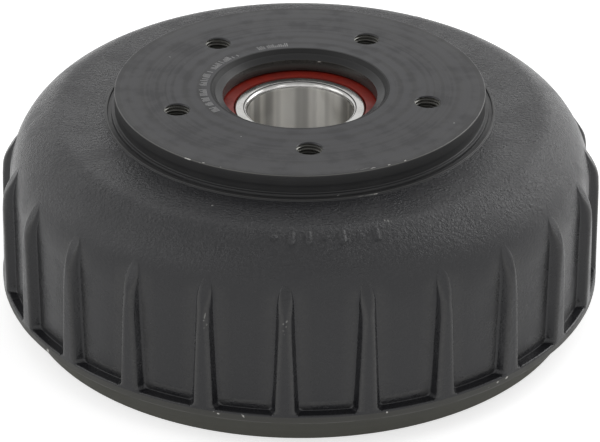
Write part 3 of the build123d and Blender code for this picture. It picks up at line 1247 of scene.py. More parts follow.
    def outside(self) -> tuple[np.ndarray, list[int], np.ndarray]:
        """The outside of the casting with its ribs, up to the edge of the wheel face.

        Returns:
            Points as rows by columns by three, the slot of each gap between rows, and how far
            rubbing and painted highlights lighten each point.
        """
        line = self.outer_profile()
        rows, slots, wear_and_highlight = [], [], []
        for spot in line:
            (crest_r, crest_z), half = self.crest_for(spot)
            rise = math.dist(spot, (crest_r, crest_z))
            pitch_half = math.pi * spot[0] / self.ribs
            half += 0.5 * self.flare(crest_z)
            wider = self.flare(spot[1]) - 0.5 * self.flare(crest_z)
            nose = (crest_z - self.crest_top + self.nose_length) / self.nose_length
            softer = min(max(nose, 0.0), 1.0) ** 2
            edge = self.crest_edge + (self.nose_edge - self.crest_edge) * softer
            across, height = self.rib_section(max(rise, self.least_rise), half, max(wider, 0.0),
                                              edge, pitch_half)
            wear_and_highlight.append(np.tile(self._mirrored(self.edge_wear_and_highlight(spot, rise)), self.ribs))
            even = np.linspace(0, pitch_half, len(across))
            ease = np.clip((spot[1] - self.tip_height + 1.0) / self.ease_length, 0, 1) ** 2
            across = across * (1 - ease) + even * ease
            share = height / max(rise, self.least_rise)
            radii = np.tile(self._mirrored(spot[0] + (crest_r - spot[0]) * share), self.ribs)
            heights = np.tile(self._mirrored(spot[1] + (crest_z - spot[1]) * share), self.ribs)
            pitch = 2 * math.pi / self.ribs
            angle = across / pitch_half * pitch / 2
            angle = np.concatenate([angle, pitch - angle[-2:0:-1]])
            turns = (np.arange(self.ribs)[:, None] * pitch + angle[None, :] + PHASE).ravel()
            rows.append(np.stack([radii * np.cos(turns), radii * np.sin(turns), heights], 1))
        for low, high in zip(line, line[1:]):
            slots.append(self._skin_at((low[0] + high[0]) / 2, (low[1] + high[1]) / 2))
        return np.array(rows), slots, np.array(wear_and_highlight)

    def _mirrored(self, columns: np.ndarray) -> np.ndarray:
        """Returns the values of half a rib and its pocket, and those of the other half."""
        return np.concatenate([columns, columns[-2:0:-1]])

    def _skin_at(self, radius: float, height: float) -> Skin:
        """Chooses the finish of a place on the outside.

        Args:
            radius: Its distance from the wheel axis.
            height: Its height.

        Returns:
            The finish.
        """
        if radius < self.boss_foot[0][0] + 0.5 and height > self.shoulder:
            return Skin.FACE if height > self.face - 0.2 else Skin.STEP
        if height < self.lip_height - 0.01:
            return Skin.LIP
        if height < self.band_top - 0.9 and radius > self.lip_radius + 0.2:
            return Skin.BAND
        return Skin.CAST

    def inside(self) -> tuple[list[Point], list[int]]:
        """The turned outline from the web's underside down the friction surface to the rim.

        Returns:
            Points as radius and height, and the slot of each gap between them.
        """
        relieved = self.brake_radius + self.relief
        centre = (relieved - self.inner_corner, self.web - self.inner_corner)
        line = [(centre[0] - 2.0, self.web), *arc(centre, self.inner_corner, 90, 0, 10)]
        line += [(relieved, self.friction_top + self.relief)]
        heights = np.linspace(self.friction_top, self.rim_chamfer, 8)
        line += [(self.brake_radius, height) for height in heights]
        line += [(self.brake_radius + self.rim_chamfer, 0.0)]
        slots = [Skin.CAST if low[1] > centre[1] - 0.01 else Skin.FRICTION for low in line[:-1]]
        return line, slots

    def bore(self) -> tuple[list[Point], list[int]]:
        """The turned outline from the wheel face through the mouth and the hub to the web.

        Returns:
            Points as radius and height, and the slot of each gap between them.
        """
        seat, groove, hub = self.bearing_radius, self.groove_radius, self.hub_radius
        wall, chamfer = self.mouth[-1][0], self.hub_chamfer
        line = softened([
            (self.mouth_rim, self.face, 0), *self.mouth, (wall, self.bearing_stop, 0.15),
            (seat, self.bearing_stop, 0), (seat, self.bearing_low, 0),
            (groove, self.bearing_low, 0), (groove, self.groove_low, 0),
            (seat, self.groove_low, 0), (seat, self.hub_end + chamfer, 0),
            (seat + chamfer, self.hub_end, 0), (hub, self.hub_end, chamfer),
            (hub, self.web, self.hub_fillet), (hub + self.hub_flat, self.web, 0)], 4)
        line = divided(line, lambda spot: self.bore_chord)
        slots = []
        for low, high in zip(line, line[1:]):
            if low[0] > high[0] > self.mouth[1][0] - 0.1:
                slots.append(Skin.MOUTH_EDGE)
            elif abs(low[0] - wall) + abs(high[0] - wall) < 0.3:
                slots.append(Skin.CAP_SEAT)
            else:
                slots.append(Skin.CAST if low[0] >= hub - 1.3 else Skin.SEAT)
        return line, slots

    def surface(self, angle: float, along: float, lift: float) -> np.ndarray:
        """A place over the turned outline between the ribs' tips and the boss.

        Args:
            angle: Direction from the wheel axis.
            along: Distance along the outline from the inner edge of the shoulder, outwards.
            lift: Height over the surface.

        Returns:
            The place.
        """
        inner = self.boss_foot[0][0] + 0.7
        line = [spot for spot in reversed(self.outer_profile())
                if spot[0] > inner and self.tip_height - 3.6 < spot[1] <= self.shoulder + 1e-6]
        radii, heights = np.array(line).T
        lengths = np.concatenate([[0], np.cumsum(np.hypot(np.diff(radii), np.diff(heights)))])
        near = (along, along - 0.5, along + 0.5)
        radius, radius_before, radius_after = np.interp(near, lengths, radii)
        height, height_before, height_after = np.interp(near, lengths, heights)
        slope_r, slope_z = radius_after - radius_before, height_after - height_before
        size = math.hypot(slope_r, slope_z)
        radius, height = radius - slope_z / size * lift, height + slope_r / size * lift
        turn = math.radians(angle)
        return np.array([radius * math.cos(turn), radius * math.sin(turn), height])

    def build(self, materials: Sequence[Material]) -> Object:
        """Builds the casting in place of its plain solid.

        Args:
            materials: The finishes, in the order of Skin.

        Returns:
            The casting.
        """
        shell = Shell()
        columns = 2 * self.half_columns * self.ribs
        fewer = columns // 3
        axis = (0.0, 0.0)
        grid, slots, wear_and_highlight = self.outside()
        shell.add_grid(grid, slots, 0, wear_and_highlight)
        line, slots = self.inside()
        shell.add_grid(turned(line, columns), slots)
        web_edge = line[0][0]
        line, slots = self.bore()
        shell.add_grid(turned(line, fewer), slots)
        holes = self.bolt_places()
        edge = self.boss_radius - self.face_edge
        rings = [(axis, edge, columns), (axis, self.mouth_rim, fewer)]
        rings += [(hole, self.countersink, HOLE_STEPS) for hole in holes]
        # the wheel face gets a painted highlight towards its outer edge
        shell.add_plate(rings, self.face_helpers, self.face, True, Skin.FACE,
                        (*self.face_highlight, (edge, self.worn_and_highlight_rings[1][-1])))
        rings = [(axis, web_edge, columns), (axis, self.hub_radius + self.hub_flat, fewer)]
        rings += [(hole, self.thread_radius, HOLE_STEPS) for hole in holes]
        shell.add_plate(rings, self.web_helpers, self.web, False, Skin.CAST)
        casting = shell.make("ribbed_drum_casting", materials)
        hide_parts("drum_casting")
        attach(casting, "drum")
        LOG.info("casting: %d faces", len(casting.data.polygons))
        return casting


@dataclass
class WheelBoltThread:
    """The thread of one wheel bolt hole, with its countersink.

    Attributes:
        root: Radius at the bottom of the thread.
        crest: Radius at its crests.
        pitch: Distance of its turns.
        profile: Shares of a turn where the bottom starts and ends, and where the crest does.
        countersink: Radius at the wheel face.
        coated: How far down the countersink has the face's coat.
        low: Height of the hole's lower end.
        face: Height of the wheel face.
        steps: Mesh columns in one turn.
    """

    root: float = THREAD_ROOT
    crest: float = 5.19
    pitch: float = 1.5
    profile: tuple[float, ...] = (0.0, 0.125, 0.4375, 0.6875)
    countersink: float = COUNTERSINK
    coated: float = 0.55
    low: float = 82.0
    face: float = FACE_HEIGHT
    steps: int = 48

    def build(self, number: int, place: Point, materials: Sequence[Material]) -> Object:
        """Builds the thread.

        Args:
            number: Its number, from 1.
            place: The middle of the hole.
            materials: The finishes of the thread and of the countersink.

        Returns:
            The thread.
        """
        radii_of = (self.root, self.root, self.crest, self.crest)
        turns = math.ceil((self.face - self.low) / self.pitch) + 2
        climb = np.arange(self.steps) / self.steps
        angles = climb * 2 * math.pi
        rows = []
        for turn in range(turns):
            for share, radius in zip(self.profile, radii_of):
                heights = self.low + self.pitch * (turn - 1 + share + climb)
                heights = np.clip(heights, self.low, self.face)
                depth = self.face - heights
                radii = np.clip(radius, self.countersink - depth, self.countersink + depth)
                radii = np.maximum(radii, self.root - (heights - self.low))
                rows.append(np.stack([place[0] + radii * np.cos(angles),
                                      place[1] + radii * np.sin(angles), heights], 1))
        shell = Shell()
        shell.add_grid(np.array(rows[::-1]), [0] * (len(rows) - 1), -len(self.profile))
        thread = shell.make(f"wheel_bolt_thread_{number}", materials, 25.0)
        for face in thread.data.polygons:
            face.material_index = int(face.center.z > (self.face - self.coated) * MM)
        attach(thread, "drum")
        return thread


# ---------------------------------------------------------------- marks on the casting


@dataclass
class FoundryMarks:
    """A row of plain raised bars and pips on the shoulder's rounded edge.

    Attributes:
        direction: Direction of the row's middle.
        along: How far down the outline its middle lies from the shoulder's inner edge.
        height: Length of a bar, down the outline.
        width: Width of a bar, and of a pip.
        spacing: Degrees from mark to mark.
        raised: Height over the skin.
        radius: Distance of the row from the wheel axis, roughly.
        rows: How far each ring of a mark spreads, and its share of the height.
        pattern: The marks in order, as lengths in shares of a bar.
    """

    direction: float = -84.5
    along: float = 21.5
    height: float = 6.6
    width: float = 2.0
    spacing: float = 3.6
    raised: float = 0.7
    radius: float = 104.0
    rows: tuple[Point, ...] = (
        (0.6, -0.15), (0.3, 0.12), (0.1, 0.5), (-0.15, 0.85), (-0.5, 1.0), (-0.95, 1.04))
    pattern: tuple[float, ...] = (0.3, 1.0, 1.0, 0.3, 1.0, 0.3, 1.0)

    def build(self, casting: DrumCasting, material: Material) -> Object:
        """Builds the marks.

        Args:
            casting: The casting that they stand on.
            material: Their finish.

        Returns:
            The marks.
        """
        shell = Shell()
        for number, share in enumerate(self.pattern):
            middle = self.direction + (number - (len(self.pattern) - 1) / 2) * self.spacing
            straight = max(self.height * share - self.width, 0.0) / 2
            rings = []
            for spread, lift in self.rows:
                ring = []
                for across, down in self._outline(self.width / 2 + spread, straight):
                    degrees = middle + math.degrees(across / self.radius)
                    ring.append(casting.surface(degrees, self.along + down, self.raised * lift))
                rings.append(ring)
            shell.add_grid(np.array(rings)[:, ::-1], [0] * (len(rings) - 1))
            shell.add_cap(len(rings[0]))
        marks = shell.make("foundry_marks", [material], 60.0)
        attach(marks, "drum")
        return marks

    def _outline(self, cap: float, straight: float) -> list[Point]:
        """The outline of one mark.

        Args:
            cap: Radius of its round ends.
            straight: Half the length between their centres.

        Returns:
            Points as across and down, clockwise.
        """
        half = [(x, y + straight) for x, y in arc((0.0, 0.0), cap, 0, 180, 8)]
        half += [(-cap, straight * share) for share in np.linspace(1, -1, 8)[1:-1]]
        return half + [(-x, -y) for x, y in half]


@dataclass
class PeenedMarks:
    """A plain arc of short dotted ticks, peened into the wheel face beside the mouth.

    Attributes:
        spans: Directions where each run of the arc starts and ends.
        row: Radius of its inner edge.
        spacing: Distance of neighbouring ticks.
        lengths: How many dots a tick may have.
        pitch: Distance of the dots in a tick.
        radius: Radius of a dot's raised rim.
        raised: Height of that rim over the face.
        rings: Share of the radius and of the rim's height, for each ring of a dot.
        base: Height of a dot's foot.
        corners: How many corners a dot has.
        seed: Seed of the ticks' order.
    """

    spans: tuple[Point, ...] = ((98.0, 117.0), (132.0, 213.0))
    row: float = 40.4
    spacing: float = 0.85
    lengths: tuple[int, ...] = (6, 6, 5, 3, 0)
    pitch: float = 0.55
    radius: float = 0.24
    raised: float = 0.035
    rings: tuple[Point, ...] = ((1.25, 0.0), (0.9, 1.0), (0.35, 0.25))
    base: float = FACE_HEIGHT + 0.004
    corners: int = 8
    seed: int = 11

    def build(self, material: Material) -> Object:
        """Builds the ticks.

        Args:
            material: Their finish.

        Returns:
            The ticks.
        """
        chance = np.random.default_rng(self.seed)
        shell = Shell()
        step = math.degrees(self.spacing / self.row)
        for start, end in self.spans:
            for turn in np.arange(start, end, step):
                for dot in range(chance.choice(self.lengths)):
                    self._add_dot(shell, math.radians(turn), self.row + dot * self.pitch)
        marks = shell.make("peened_marks", [material], 60.0)
        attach(marks, "drum")
        return marks

    def _add_dot(self, shell: Shell, turn: float, radius: float) -> None:
        """Adds one dot: a raised rim round a shallow hollow.

        Args:
            shell: Where it goes.
            turn: Its direction, in radians.
            radius: Its distance from the wheel axis.
        """
        angles = np.arange(self.corners) * 2 * math.pi / self.corners
        x, y = radius * math.cos(turn), radius * math.sin(turn)
        grid = [np.stack([x + np.cos(angles) * reach * self.radius,
                          y + np.sin(angles) * reach * self.radius,
                          np.full(self.corners, self.base + lift * self.raised)], 1)
                for reach, lift in self.rings]
        shell.add_grid(np.array(grid), [0] * (len(grid) - 1))
        shell.add_cap(self.corners)


class Blemish(IntEnum):
    """Kinds of small marks, as slots of their mesh."""

    CHIP = 0
    SCUFF = 1
    PIT = 2


CHIP, SCUFF, PIT = Blemish


@dataclass
class Blemishes:
    """Chips, scuffs and pits in the coat, and one painted glint: small uneven patches that lie on
    the casting.

    Attributes:
        patches: Direction, radius, height, length, width, slant and kind of each patch.
        lift: How far a patch stands over the casting.
        bulge: How much higher its middle is, as a share of that.
        corners: How many corners its outline has.
        uneven: How far its outline strays inwards and outwards, as shares of its size.
        seed: Seed of the patches' outlines.
    """

    patches: tuple[tuple[float, float, float, float, float, float, Blemish], ...] = (
        (-105.4, 130.7, 16.2, 0.8, 0.5, 10.0, SCUFF),
        (-104.5, 130.7, 15.5, 1.2, 0.6, -15.0, CHIP),
        (-100.0, 130.7, 15.9, 1.9, 0.7, -50.0, CHIP),
        (-74.1, 130.7, 15.9, 0.9, 0.8, 0.0, CHIP),
        (-48.9, 130.7, 15.5, 1.6, 0.9, 25.0, CHIP),
        (-51.1, 130.7, 15.3, 1.1, 0.8, 10.0, CHIP),
        (-53.2, 130.7, 14.6, 0.6, 0.4, 10.0, SCUFF),
        (-143.9, 130.7, 14.6, 1.9, 1.5, 20.0, CHIP),
        (-106.9, 129.4, 60.4, 3.2, 0.5, 80.0, SCUFF),
        (-106.5, 129.9, 56.4, 1.0, 0.7, 60.0, SCUFF),
        (-107.1, 129.8, 58.2, 0.7, 0.5, 10.0, SCUFF),
        (-107.0, 129.9, 54.9, 0.6, 0.4, 40.0, SCUFF),
        (-92.2, 129.6, 61.1, 1.2, 0.7, 70.0, SCUFF),
        (-92.8, 129.8, 60.0, 0.8, 0.6, 20.0, SCUFF),
        (-92.3, 129.9, 58.8, 0.9, 0.5, 85.0, SCUFF),
        (-92.8, 130.0, 57.0, 0.8, 0.7, 0.0, SCUFF),
        (-92.6, 130.0, 55.3, 0.6, 0.4, 30.0, SCUFF),
        (-125.3, 79.5, 99.75, 3.8, 0.5, 0.0, CHIP),
        (-121.0, 79.5, 99.7, 1.2, 0.4, 0.0, SCUFF),
        (-26.9, 72.5, 100.0, 0.9, 0.7, 0.0, SCUFF),
        (153.1, 63.8, 100.0, 0.6, 1.0, 0.0, SCUFF),
        (155.4, 55.1, 100.0, 0.7, 0.5, 0.0, SCUFF),
        (-118.2, 51.7, 100.0, 0.7, 0.7, 0.0, SCUFF),
        (-112.1, 94.1, 90.3, 0.9, 0.9, 0.0, SCUFF),
        (-70.2, 105.2, 90.0, 0.8, 1.6, 0.0, SCUFF),
        (-70.9, 104.6, 90.1, 0.6, 1.1, 0.0, SCUFF),
        (-69.6, 105.6, 89.9, 0.5, 0.9, 0.0, SCUFF),
        (-78.9, 81.5, 91.0, 1.2, 0.4, 30.0, SCUFF),
        (-69.3, 83.9, 90.8, 5.5, 0.4, 0.0, SCUFF),
        (-68.2, 84.0, 90.7, 2.2, 0.35, 0.0, CHIP),
        (-72.8, 83.9, 90.8, 2.4, 0.35, 0.0, SCUFF),
        (-70.2, 78.1, 100.0, 4.0, 0.3, 8.0, SCUFF),
        (-67.6, 78.6, 100.0, 2.4, 0.3, 5.0, CHIP),
        (-72.6, 77.5, 100.0, 1.8, 0.25, 12.0, SCUFF),
        (-62.4, 78.9, 99.9, 1.3, 0.5, 0.0, CHIP),
        (-56.9, 79.1, 99.9, 1.2, 0.5, 0.0, CHIP),
        (-119.8, 79.2, 99.9, 1.2, 0.4, 0.0, CHIP),
        (-114.0, 79.2, 99.9, 1.0, 0.4, 0.0, SCUFF),
        # painted glint: a small bright arc on the mouth's seat wall, drawn as a bare chip
        (75.5, 33.2, 96.3, 2.0, 0.35, 5.0, CHIP),
        (110.8, 34.9, 97.6, 1.9, 0.9, 0.0, PIT),
        (59.7, 107.6, 89.2, 3.6, 2.6, 0.0, PIT),
    )
    lift: float = 0.03
    bulge: float = 1.6
    corners: int = 11
    uneven: Point = (-0.28, 0.22)
    seed: int = 5

    def build(self, casting: Object, materials: Sequence[Material]) -> Object:
        """Builds the patches.

        Args:
            casting: The casting that they lie on.
            materials: Their finishes, in the order of Blemish.

        Returns:
            The patches.
        """
        skin = BVHTree.FromObject(casting, bpy.context.evaluated_depsgraph_get())
        chance = np.random.default_rng(self.seed)
        shell = Shell()
        for degrees, radius, height, length, width, slant, kind in self.patches:
            turn = math.radians(degrees)
            place = Vector((radius * math.cos(turn), radius * math.sin(turn), height)) * MM
            middle, normal, _, _ = skin.find_nearest(place)
            side = Vector((-math.sin(turn), math.cos(turn), 0.0))
            side = (side - normal * side.dot(normal)).normalized()
            along = Matrix.Rotation(math.radians(slant), 3, normal) @ side
            across = normal.cross(along)
            points = []
            for step in range(self.corners):
                angle = 2 * math.pi * step / self.corners
                reach = 1 + chance.uniform(*self.uneven)
                spot = middle + along * (math.cos(angle) * reach * length / 2 * MM)
                spot += across * (math.sin(angle) * reach * width / 2 * MM)
                foot, out, _, _ = skin.find_nearest(spot)
                points.append(foot / MM + out * self.lift)
            points.append(middle / MM + normal * self.lift * self.bulge)
            first = shell.add_points(np.array(points))
            last = first + self.corners
            for step in range(self.corners):
                shell.faces.append((first + step, first + (step + 1) % self.corners, last))
                shell.slots.append(kind)
        patches = shell.make("coat_blemishes", materials, 60.0)
        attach(patches, "drum")
        return patches


# ---------------------------------------------------------------- bearing


@dataclass(frozen=True)
class InnerRing:
    """The inner ring on the wheel's side, with its ground edges and the fine step round its face.

    Attributes:
        bore: Radius of the bore.
        middle: Height of the joint between the two rings.
        face: Height of its end face.
        rib: Radius of the rib at the large ends of the rollers.
        back: Its outline behind the face, as radius, height and edge radius.
        face_edge: Radius of the rounded edge between rib and face.
        edge_radial: Width of the rounded edge at the bore.
        edge_depth: Depth of that edge.
        edge_steps: How many chords that edge has.
        step: Width of the fine step between face and edge.
        step_depth: Its depth.
        columns: Mesh columns round the axis.
    """

    bore: float = 22.5
    middle: float = 71.1
    face: float = 90.6
    rib: float = 28.25
    back: tuple[Corner, ...] = (
        (25.85, 71.1, 0.3), (25.85, 75.81, 0.3), (24.85, 76.04, 0.0), (27.05, 87.13, 0.0),
        (28.25, 86.85, 0.2))
    face_edge: float = 0.9
    edge_radial: float = 1.45
    edge_depth: float = 3.0
    edge_steps: int = 14
    step: float = 0.45
    step_depth: float = 0.35
    columns: int = 192

    def build(self, materials: Sequence[Material]) -> Object:
        """Builds the ring in place of its plain solid.

        Args:
            materials: The finishes of the ring and of the painted shade in its step.

        Returns:
            The ring.
        """
        edge, floor = self.bore + self.edge_radial, self.face - self.step_depth
        outer = edge + self.step
        line = softened([
            (self.bore, self.middle, 0), *self.back, (self.rib, self.face, self.face_edge),
            (outer, self.face, 0.06), (outer - 0.05, floor, 0.05), (edge, floor, 0)], 4)
        drop = self.edge_depth - self.step_depth
        for turn in np.linspace(0, math.pi / 2, self.edge_steps + 1)[1:]:
            line.append((edge - self.edge_radial * math.sin(turn),
                         floor - drop * (1 - math.cos(turn))))
        line.append((self.bore, self.middle))
        # painted shade: the faces inside the fine step get a dark finish
        shaded_step = []
        for low, high in zip(line, line[1:]):
            inside_step = edge - 0.01 < min(low[0], high[0]) and max(low[0], high[0]) < outer + 0.01
            shaded_step.append(int(inside_step and low[1] > floor - 0.01))
        shell = Shell()
        shell.add_grid(turned(line, self.columns), shaded_step)
        ring = shell.make("inner_ring_outboard_ground", materials, 40.0)
        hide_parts("inner_ring_outboard")
        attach(ring, "inner_rings")
        return ring


@dataclass
class WheelBearing:
    """The finishes of the pressed-in bearing, its seals and the retaining ring.

    Attributes:
        outer: Steel of the outer ring.
        inner: Steel of the inner rings.
        roller: Steel of the rollers.
        cage: Polymer of the cages.
        case: Steel of the seal cases.
        lip: Rubber of the seal lips.
        clip: Steel of the retaining ring.
        ring: The inner ring on the wheel's side.
        step_shade: The painted shade in that ring's step.
    """

    outer: GroundSteel = GroundSteel("outer_ring_steel", (0.42, 0.41, 0.40), (0.20, 0.19, 0.17))
    inner: GroundSteel = GroundSteel(
        "inner_ring_steel", (0.58, 0.575, 0.56), (0.46, 0.45, 0.43), 0.5, 0.0006, 0.11, 0.20,
        brushed=0.9, bore=22.5)
    roller: GroundSteel = GroundSteel(
        "roller_steel", (0.70, 0.70, 0.69), (0.5, 0.49, 0.46), 0.08, 0.001)
    cage: MouldedSkin = MouldedSkin("cage_polymer", (0.52, 0.46, 0.34), (0.44, 0.38, 0.27), 0.5)
    case: GroundSteel = GroundSteel(
        "seal_case_steel", (0.34, 0.34, 0.34), (0.2, 0.2, 0.19), 0.3, 0.004, 0.3, 0.45)
    lip: MouldedSkin = MouldedSkin("seal_rubber", (0.25, 0.018, 0.010), (0.19, 0.014, 0.008), 0.42)
    clip: GroundSteel = GroundSteel(
        "retaining_ring_steel", (0.10, 0.10, 0.105), (0.06, 0.06, 0.06), 0.4, 0.01, 0.36, 0.5)
    ring: InnerRing = InnerRing()
    # painted shade in the inner ring's step
    step_shade: MouldedSkin = MouldedSkin("bearing_step_shade", (0.05, 0.048, 0.045), (0.03, 0.03, 0.03), 0.5)

    def dress(self, nodes: dict[str, Object], effects: Effects) -> None:
        """Puts the finishes on the bearing's solids, and builds the ring that shows in the mouth.

        Args:
            nodes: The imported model's nodes.
            effects: The shared effects.
        """
        starts = {"bearing_outer_ring": self.outer, "inner_ring": self.inner,
                  "roller": self.roller, "cage": self.cage, "seal_case": self.case,
                  "seal_lip": self.lip, "retaining_ring": self.clip}
        for start, finish in starts.items():
            material = finish.make(effects)
            for name, node in nodes.items():
                if name.startswith(start):
                    for place in node.material_slots:
                        place.material = material
            if start == "inner_ring":
                self.ring.build([material, self.step_shade.make(effects)])
            LOG.info("%s: dressed", start)


# ---------------------------------------------------------------- studio


@dataclass
class Studio:
    """The camera, the pale floor, the lamps and the surroundings. Lengths are metres.

    Attributes:
        camera_place: Where the camera stands.
        camera_target: What it looks at.
        camera_roll: Its turn round the line of sight, in degrees.
        lens: Its focal length in millimetres, for a sensor 36 mm wide.
        floor_half: Half the floor's size.
        floor_drop: How far it lies under the rim.
        floor_glow: How much white the floor adds for the camera.
        mirrored: How much of that it adds in reflections.
        ambient: Light of the surroundings on matt surfaces.
        overhead: How bright the surroundings look straight overhead, in reflections.
        sky_range: Upward share of a direction where they begin to dim, and where they stop.
        lamps: Place, size and power of each lamp.
    """

    camera_place: tuple[float, float, float] = (0.000192, -1.150444, 0.681588)
    camera_target: tuple[float, float, float] = (0.000192, 0.0, 0.034156)
    camera_roll: float = 0.187
    lens: float = 180.18
    floor_half: float = 3.0
    floor_drop: float = 0.0001
    floor_glow: float = 0.62
    mirrored: float = 0.62
    ambient: float = 0.56
    overhead: float = 0.45
    sky_range: Point = (0.50, 0.97)
    lamps: tuple[tuple[tuple[float, float, float], float, float], ...] = (
        ((-1.6, -0.1, 1.2), 1.2, 4.5),
        ((1.35, 0.9, 1.0), 1.2, 11.0),
        ((-0.95, -0.86, 1.5), 0.5, 1.0),
        ((0.95, -0.86, 1.5), 0.5, 1.0),
    )

    def build(self) -> None:
        """Sets up the camera, the surroundings, the floor and the lamps."""
        self._camera()
        self._surroundings()
        self._floor()
        for number, (place, size, power) in enumerate(self.lamps, start=1):
            lamp = bpy.data.lights.new(f"soft_lamp_{number}", "AREA")
            lamp.size = size
            lamp.energy = power
            made = bpy.data.objects.new(lamp.name, lamp)
            bpy.context.scene.collection.objects.link(made)
            made.location = place
            made.rotation_euler = (-Vector(place)).to_track_quat("-Z", "Y").to_euler()

    def _camera(self) -> None:
        """Sets up the camera."""
        data = bpy.data.cameras.new("camera")
        data.lens, data.sensor_width, data.sensor_fit = self.lens, 36.0, "HORIZONTAL"
        data.clip_end = 50.0
        made = bpy.data.objects.new("camera", data)
        bpy.context.scene.collection.objects.link(made)
        sight = Vector(self.camera_target) - Vector(self.camera_place)
        turn = sight.to_track_quat("-Z", "Y").to_matrix().to_4x4()
        roll = Matrix.Rotation(math.radians(self.camera_roll), 4, "Z")
        made.matrix_world = Matrix.Translation(self.camera_place) @ turn @ roll
        bpy.context.scene.camera = made
        bpy.context.scene.view_settings.view_transform = "Standard"

    def _seen(self, tree: NodeTree) -> Socket:
        """Tells the rays that see the floor white from those that it doesn't light.

        Args:
            tree: The floor's shader tree.

        Returns:
            1 for rays from the camera or through glass, less in reflections, and 0 for others.
        """
        path = tree.add("LightPath")
        reflected = tree.times(path.outputs["Is Glossy Ray"], self.mirrored)
        seen = tree.math("MAXIMUM", path.outputs["Is Camera Ray"], reflected)
        return tree.math("MAXIMUM", seen, path.outputs["Is Transmission Ray"])

    def _surroundings(self) -> None:
        """Sets up the white surroundings."""
        world = bpy.data.worlds.new("white_studio")
        bpy.context.scene.world = world
        world.use_nodes = True
        tree = NodeTree(world.node_tree)
        path = tree.add("LightPath")
        parts = tree.add("SeparateXYZ")
        tree.feed(parts.inputs[0], tree.add("TexCoord").outputs["Generated"])
        sky = tree.ramp(parts.outputs["Z"], *self.sky_range, 1.0, self.overhead)
        reflected = tree.times(path.outputs["Is Glossy Ray"], sky)
        straight = (path.outputs["Is Camera Ray"], path.outputs["Is Transmission Ray"])
        plain = tree.math("MAXIMUM", *straight)
        background = world.node_tree.nodes["Background"]
        background.inputs["Color"].default_value = WHITE
        seen = tree.math("MAXIMUM", plain, reflected)
        tree.feed(background.inputs["Strength"], tree.math("MAXIMUM", seen, self.ambient))

    def _floor(self) -> None:
        """Builds the floor."""
        material, tree, shader = new_material("pale_floor")
        half = self.floor_half
        speckle = tree.noise(tree.place(), 40.0, 2.0, 0.5)
        paper = tree.mix(speckle, (0.80, 0.80, 0.80), (0.82, 0.82, 0.82))
        tree.feed(shader.inputs["Base Color"], paper)
        shader.inputs["Roughness"].default_value = 0.9
        shader.inputs["Specular IOR Level"].default_value = 0.0
        shader.inputs["Emission Color"].default_value = WHITE
        glow = tree.times(self._seen(tree), self.floor_glow)
        tree.feed(shader.inputs["Emission Strength"], glow)
        corners = [(-half, -half, 0), (half, -half, 0), (half, half, 0), (-half, half, 0)]
        mesh = bpy.data.meshes.new("studio_floor")
        mesh.from_pydata(corners, [], [(0, 1, 2, 3)])
        mesh.materials.append(material)
        floor = bpy.data.objects.new("studio_floor", mesh)
        bpy.context.scene.collection.objects.link(floor)
        floor.location.z = -self.floor_drop


# ---------------------------------------------------------------- whole model


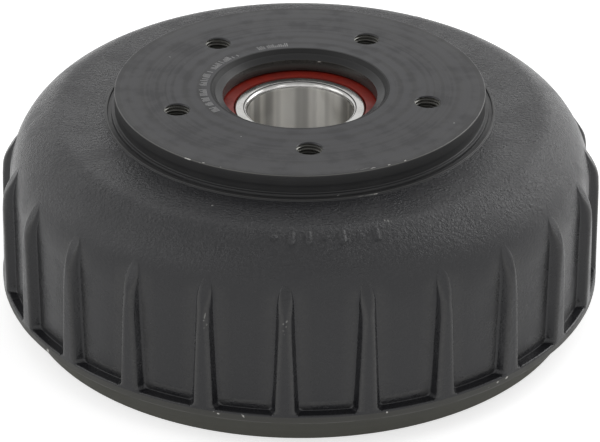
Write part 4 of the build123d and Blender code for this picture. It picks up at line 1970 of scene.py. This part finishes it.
def drum_finishes(effects: Effects) -> list[Material]:
    """Makes the casting's finishes.

    Args:
        effects: The shared effects.

    Returns:
        The materials in the order of Skin.
    """
    finishes = {
        Skin.CAST: CoatedCasting(),
        Skin.FACE: TurnedFace(),
        Skin.BAND: TurnedFace("rim_band", (0.043, 0.043, 0.038), (0.070, 0.068, 0.060), RUBBED_AND_HIGHLIGHT,
                              False, 0.8, 0.03, 0.4, 0.55),
        Skin.SEAT: TurnedFace("turned_seats", (0.018, 0.018, 0.0185), (0.04, 0.04, 0.04), RUBBED_AND_HIGHLIGHT,
                              False, 0.3, 0.01, 0.3, 0.42, index=1.38),
        Skin.LIP: TurnedFace("rim_lip", (0.076, 0.077, 0.066), (0.112, 0.110, 0.093), RUBBED_AND_HIGHLIGHT,
                             False, 0.6, 0.02, 0.42, 0.6),
        Skin.FRICTION: TurnedFace("friction_surface", (0.20, 0.195, 0.19), (0.32, 0.31, 0.30),
                                  RUBBED_AND_HIGHLIGHT, False, 0.5, 0.012, 0.34, 0.5, metallic=0.85),
        Skin.STEP: TurnedFace("turned_steps", (0.018, 0.018, 0.019), (0.036, 0.036, 0.036), RUBBED_AND_HIGHLIGHT,
                              False, 0.5, 0.012, 0.3, 0.45),
        Skin.CAP_SEAT: TurnedFace("cap_seat_wall", (0.030, 0.0285, 0.0260), (0.060, 0.056, 0.051),
                                  RUBBED_AND_HIGHLIGHT, False, 0.4, 0.012, 0.26, 0.4, metallic=0.2),
        Skin.MOUTH_EDGE: TurnedFace("mouth_edge", (0.010, 0.010, 0.0105), (0.024, 0.024, 0.024),
                                    RUBBED_AND_HIGHLIGHT, False, 0.4, 0.01, 0.4, 0.5, index=1.3),
    }
    return [finishes[skin].make(effects) for skin in Skin]


def main() -> None:
    """Builds the model and its studio, piece by piece."""
    logging.basicConfig(level=logging.INFO, format="%(name)s: %(message)s")
    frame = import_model()
    Studio().build()
    LOG.info("studio: built")
    effects = Effects()
    finishes = drum_finishes(effects)
    casting = DrumCasting()
    drum = casting.build(finishes)
    cut = TurnedFace("cut_thread", (0.20, 0.20, 0.185), (0.34, 0.33, 0.31), RUBBED_AND_HIGHLIGHT, False, 0.2,
                     0.01, 0.3, 0.45, metallic=0.9).make(effects)
    for number, place in enumerate(casting.bolt_places(), start=1):
        WheelBoltThread().build(number, place, [cut, finishes[Skin.FACE]])
    LOG.info("wheel bolt threads: built")
    FoundryMarks().build(casting, finishes[Skin.CAST])
    LOG.info("foundry marks: built")
    peened = GroundSteel("peened_dots", (0.30, 0.30, 0.30), (0.2, 0.2, 0.2), 0.4, 0.002, 0.4, 0.5)
    PeenedMarks().build(peened.make(effects))
    LOG.info("peened marks: built")
    blemishes = [MouldedSkin("bare_chip", (0.62, 0.61, 0.58), (0.42, 0.41, 0.38), 0.6),
                 MouldedSkin("rubbed_scuff", (0.22, 0.22, 0.21), (0.12, 0.12, 0.115), 0.55),
                 MouldedSkin("dark_pit", (0.004, 0.004, 0.004), (0.008, 0.008, 0.008), 0.7)]
    Blemishes().build(drum, [finish.make(effects) for finish in blemishes])
    LOG.info("blemishes: built")
    WheelBearing().dress(frame["nodes"], effects)


if __name__ == "__main__":
    main()
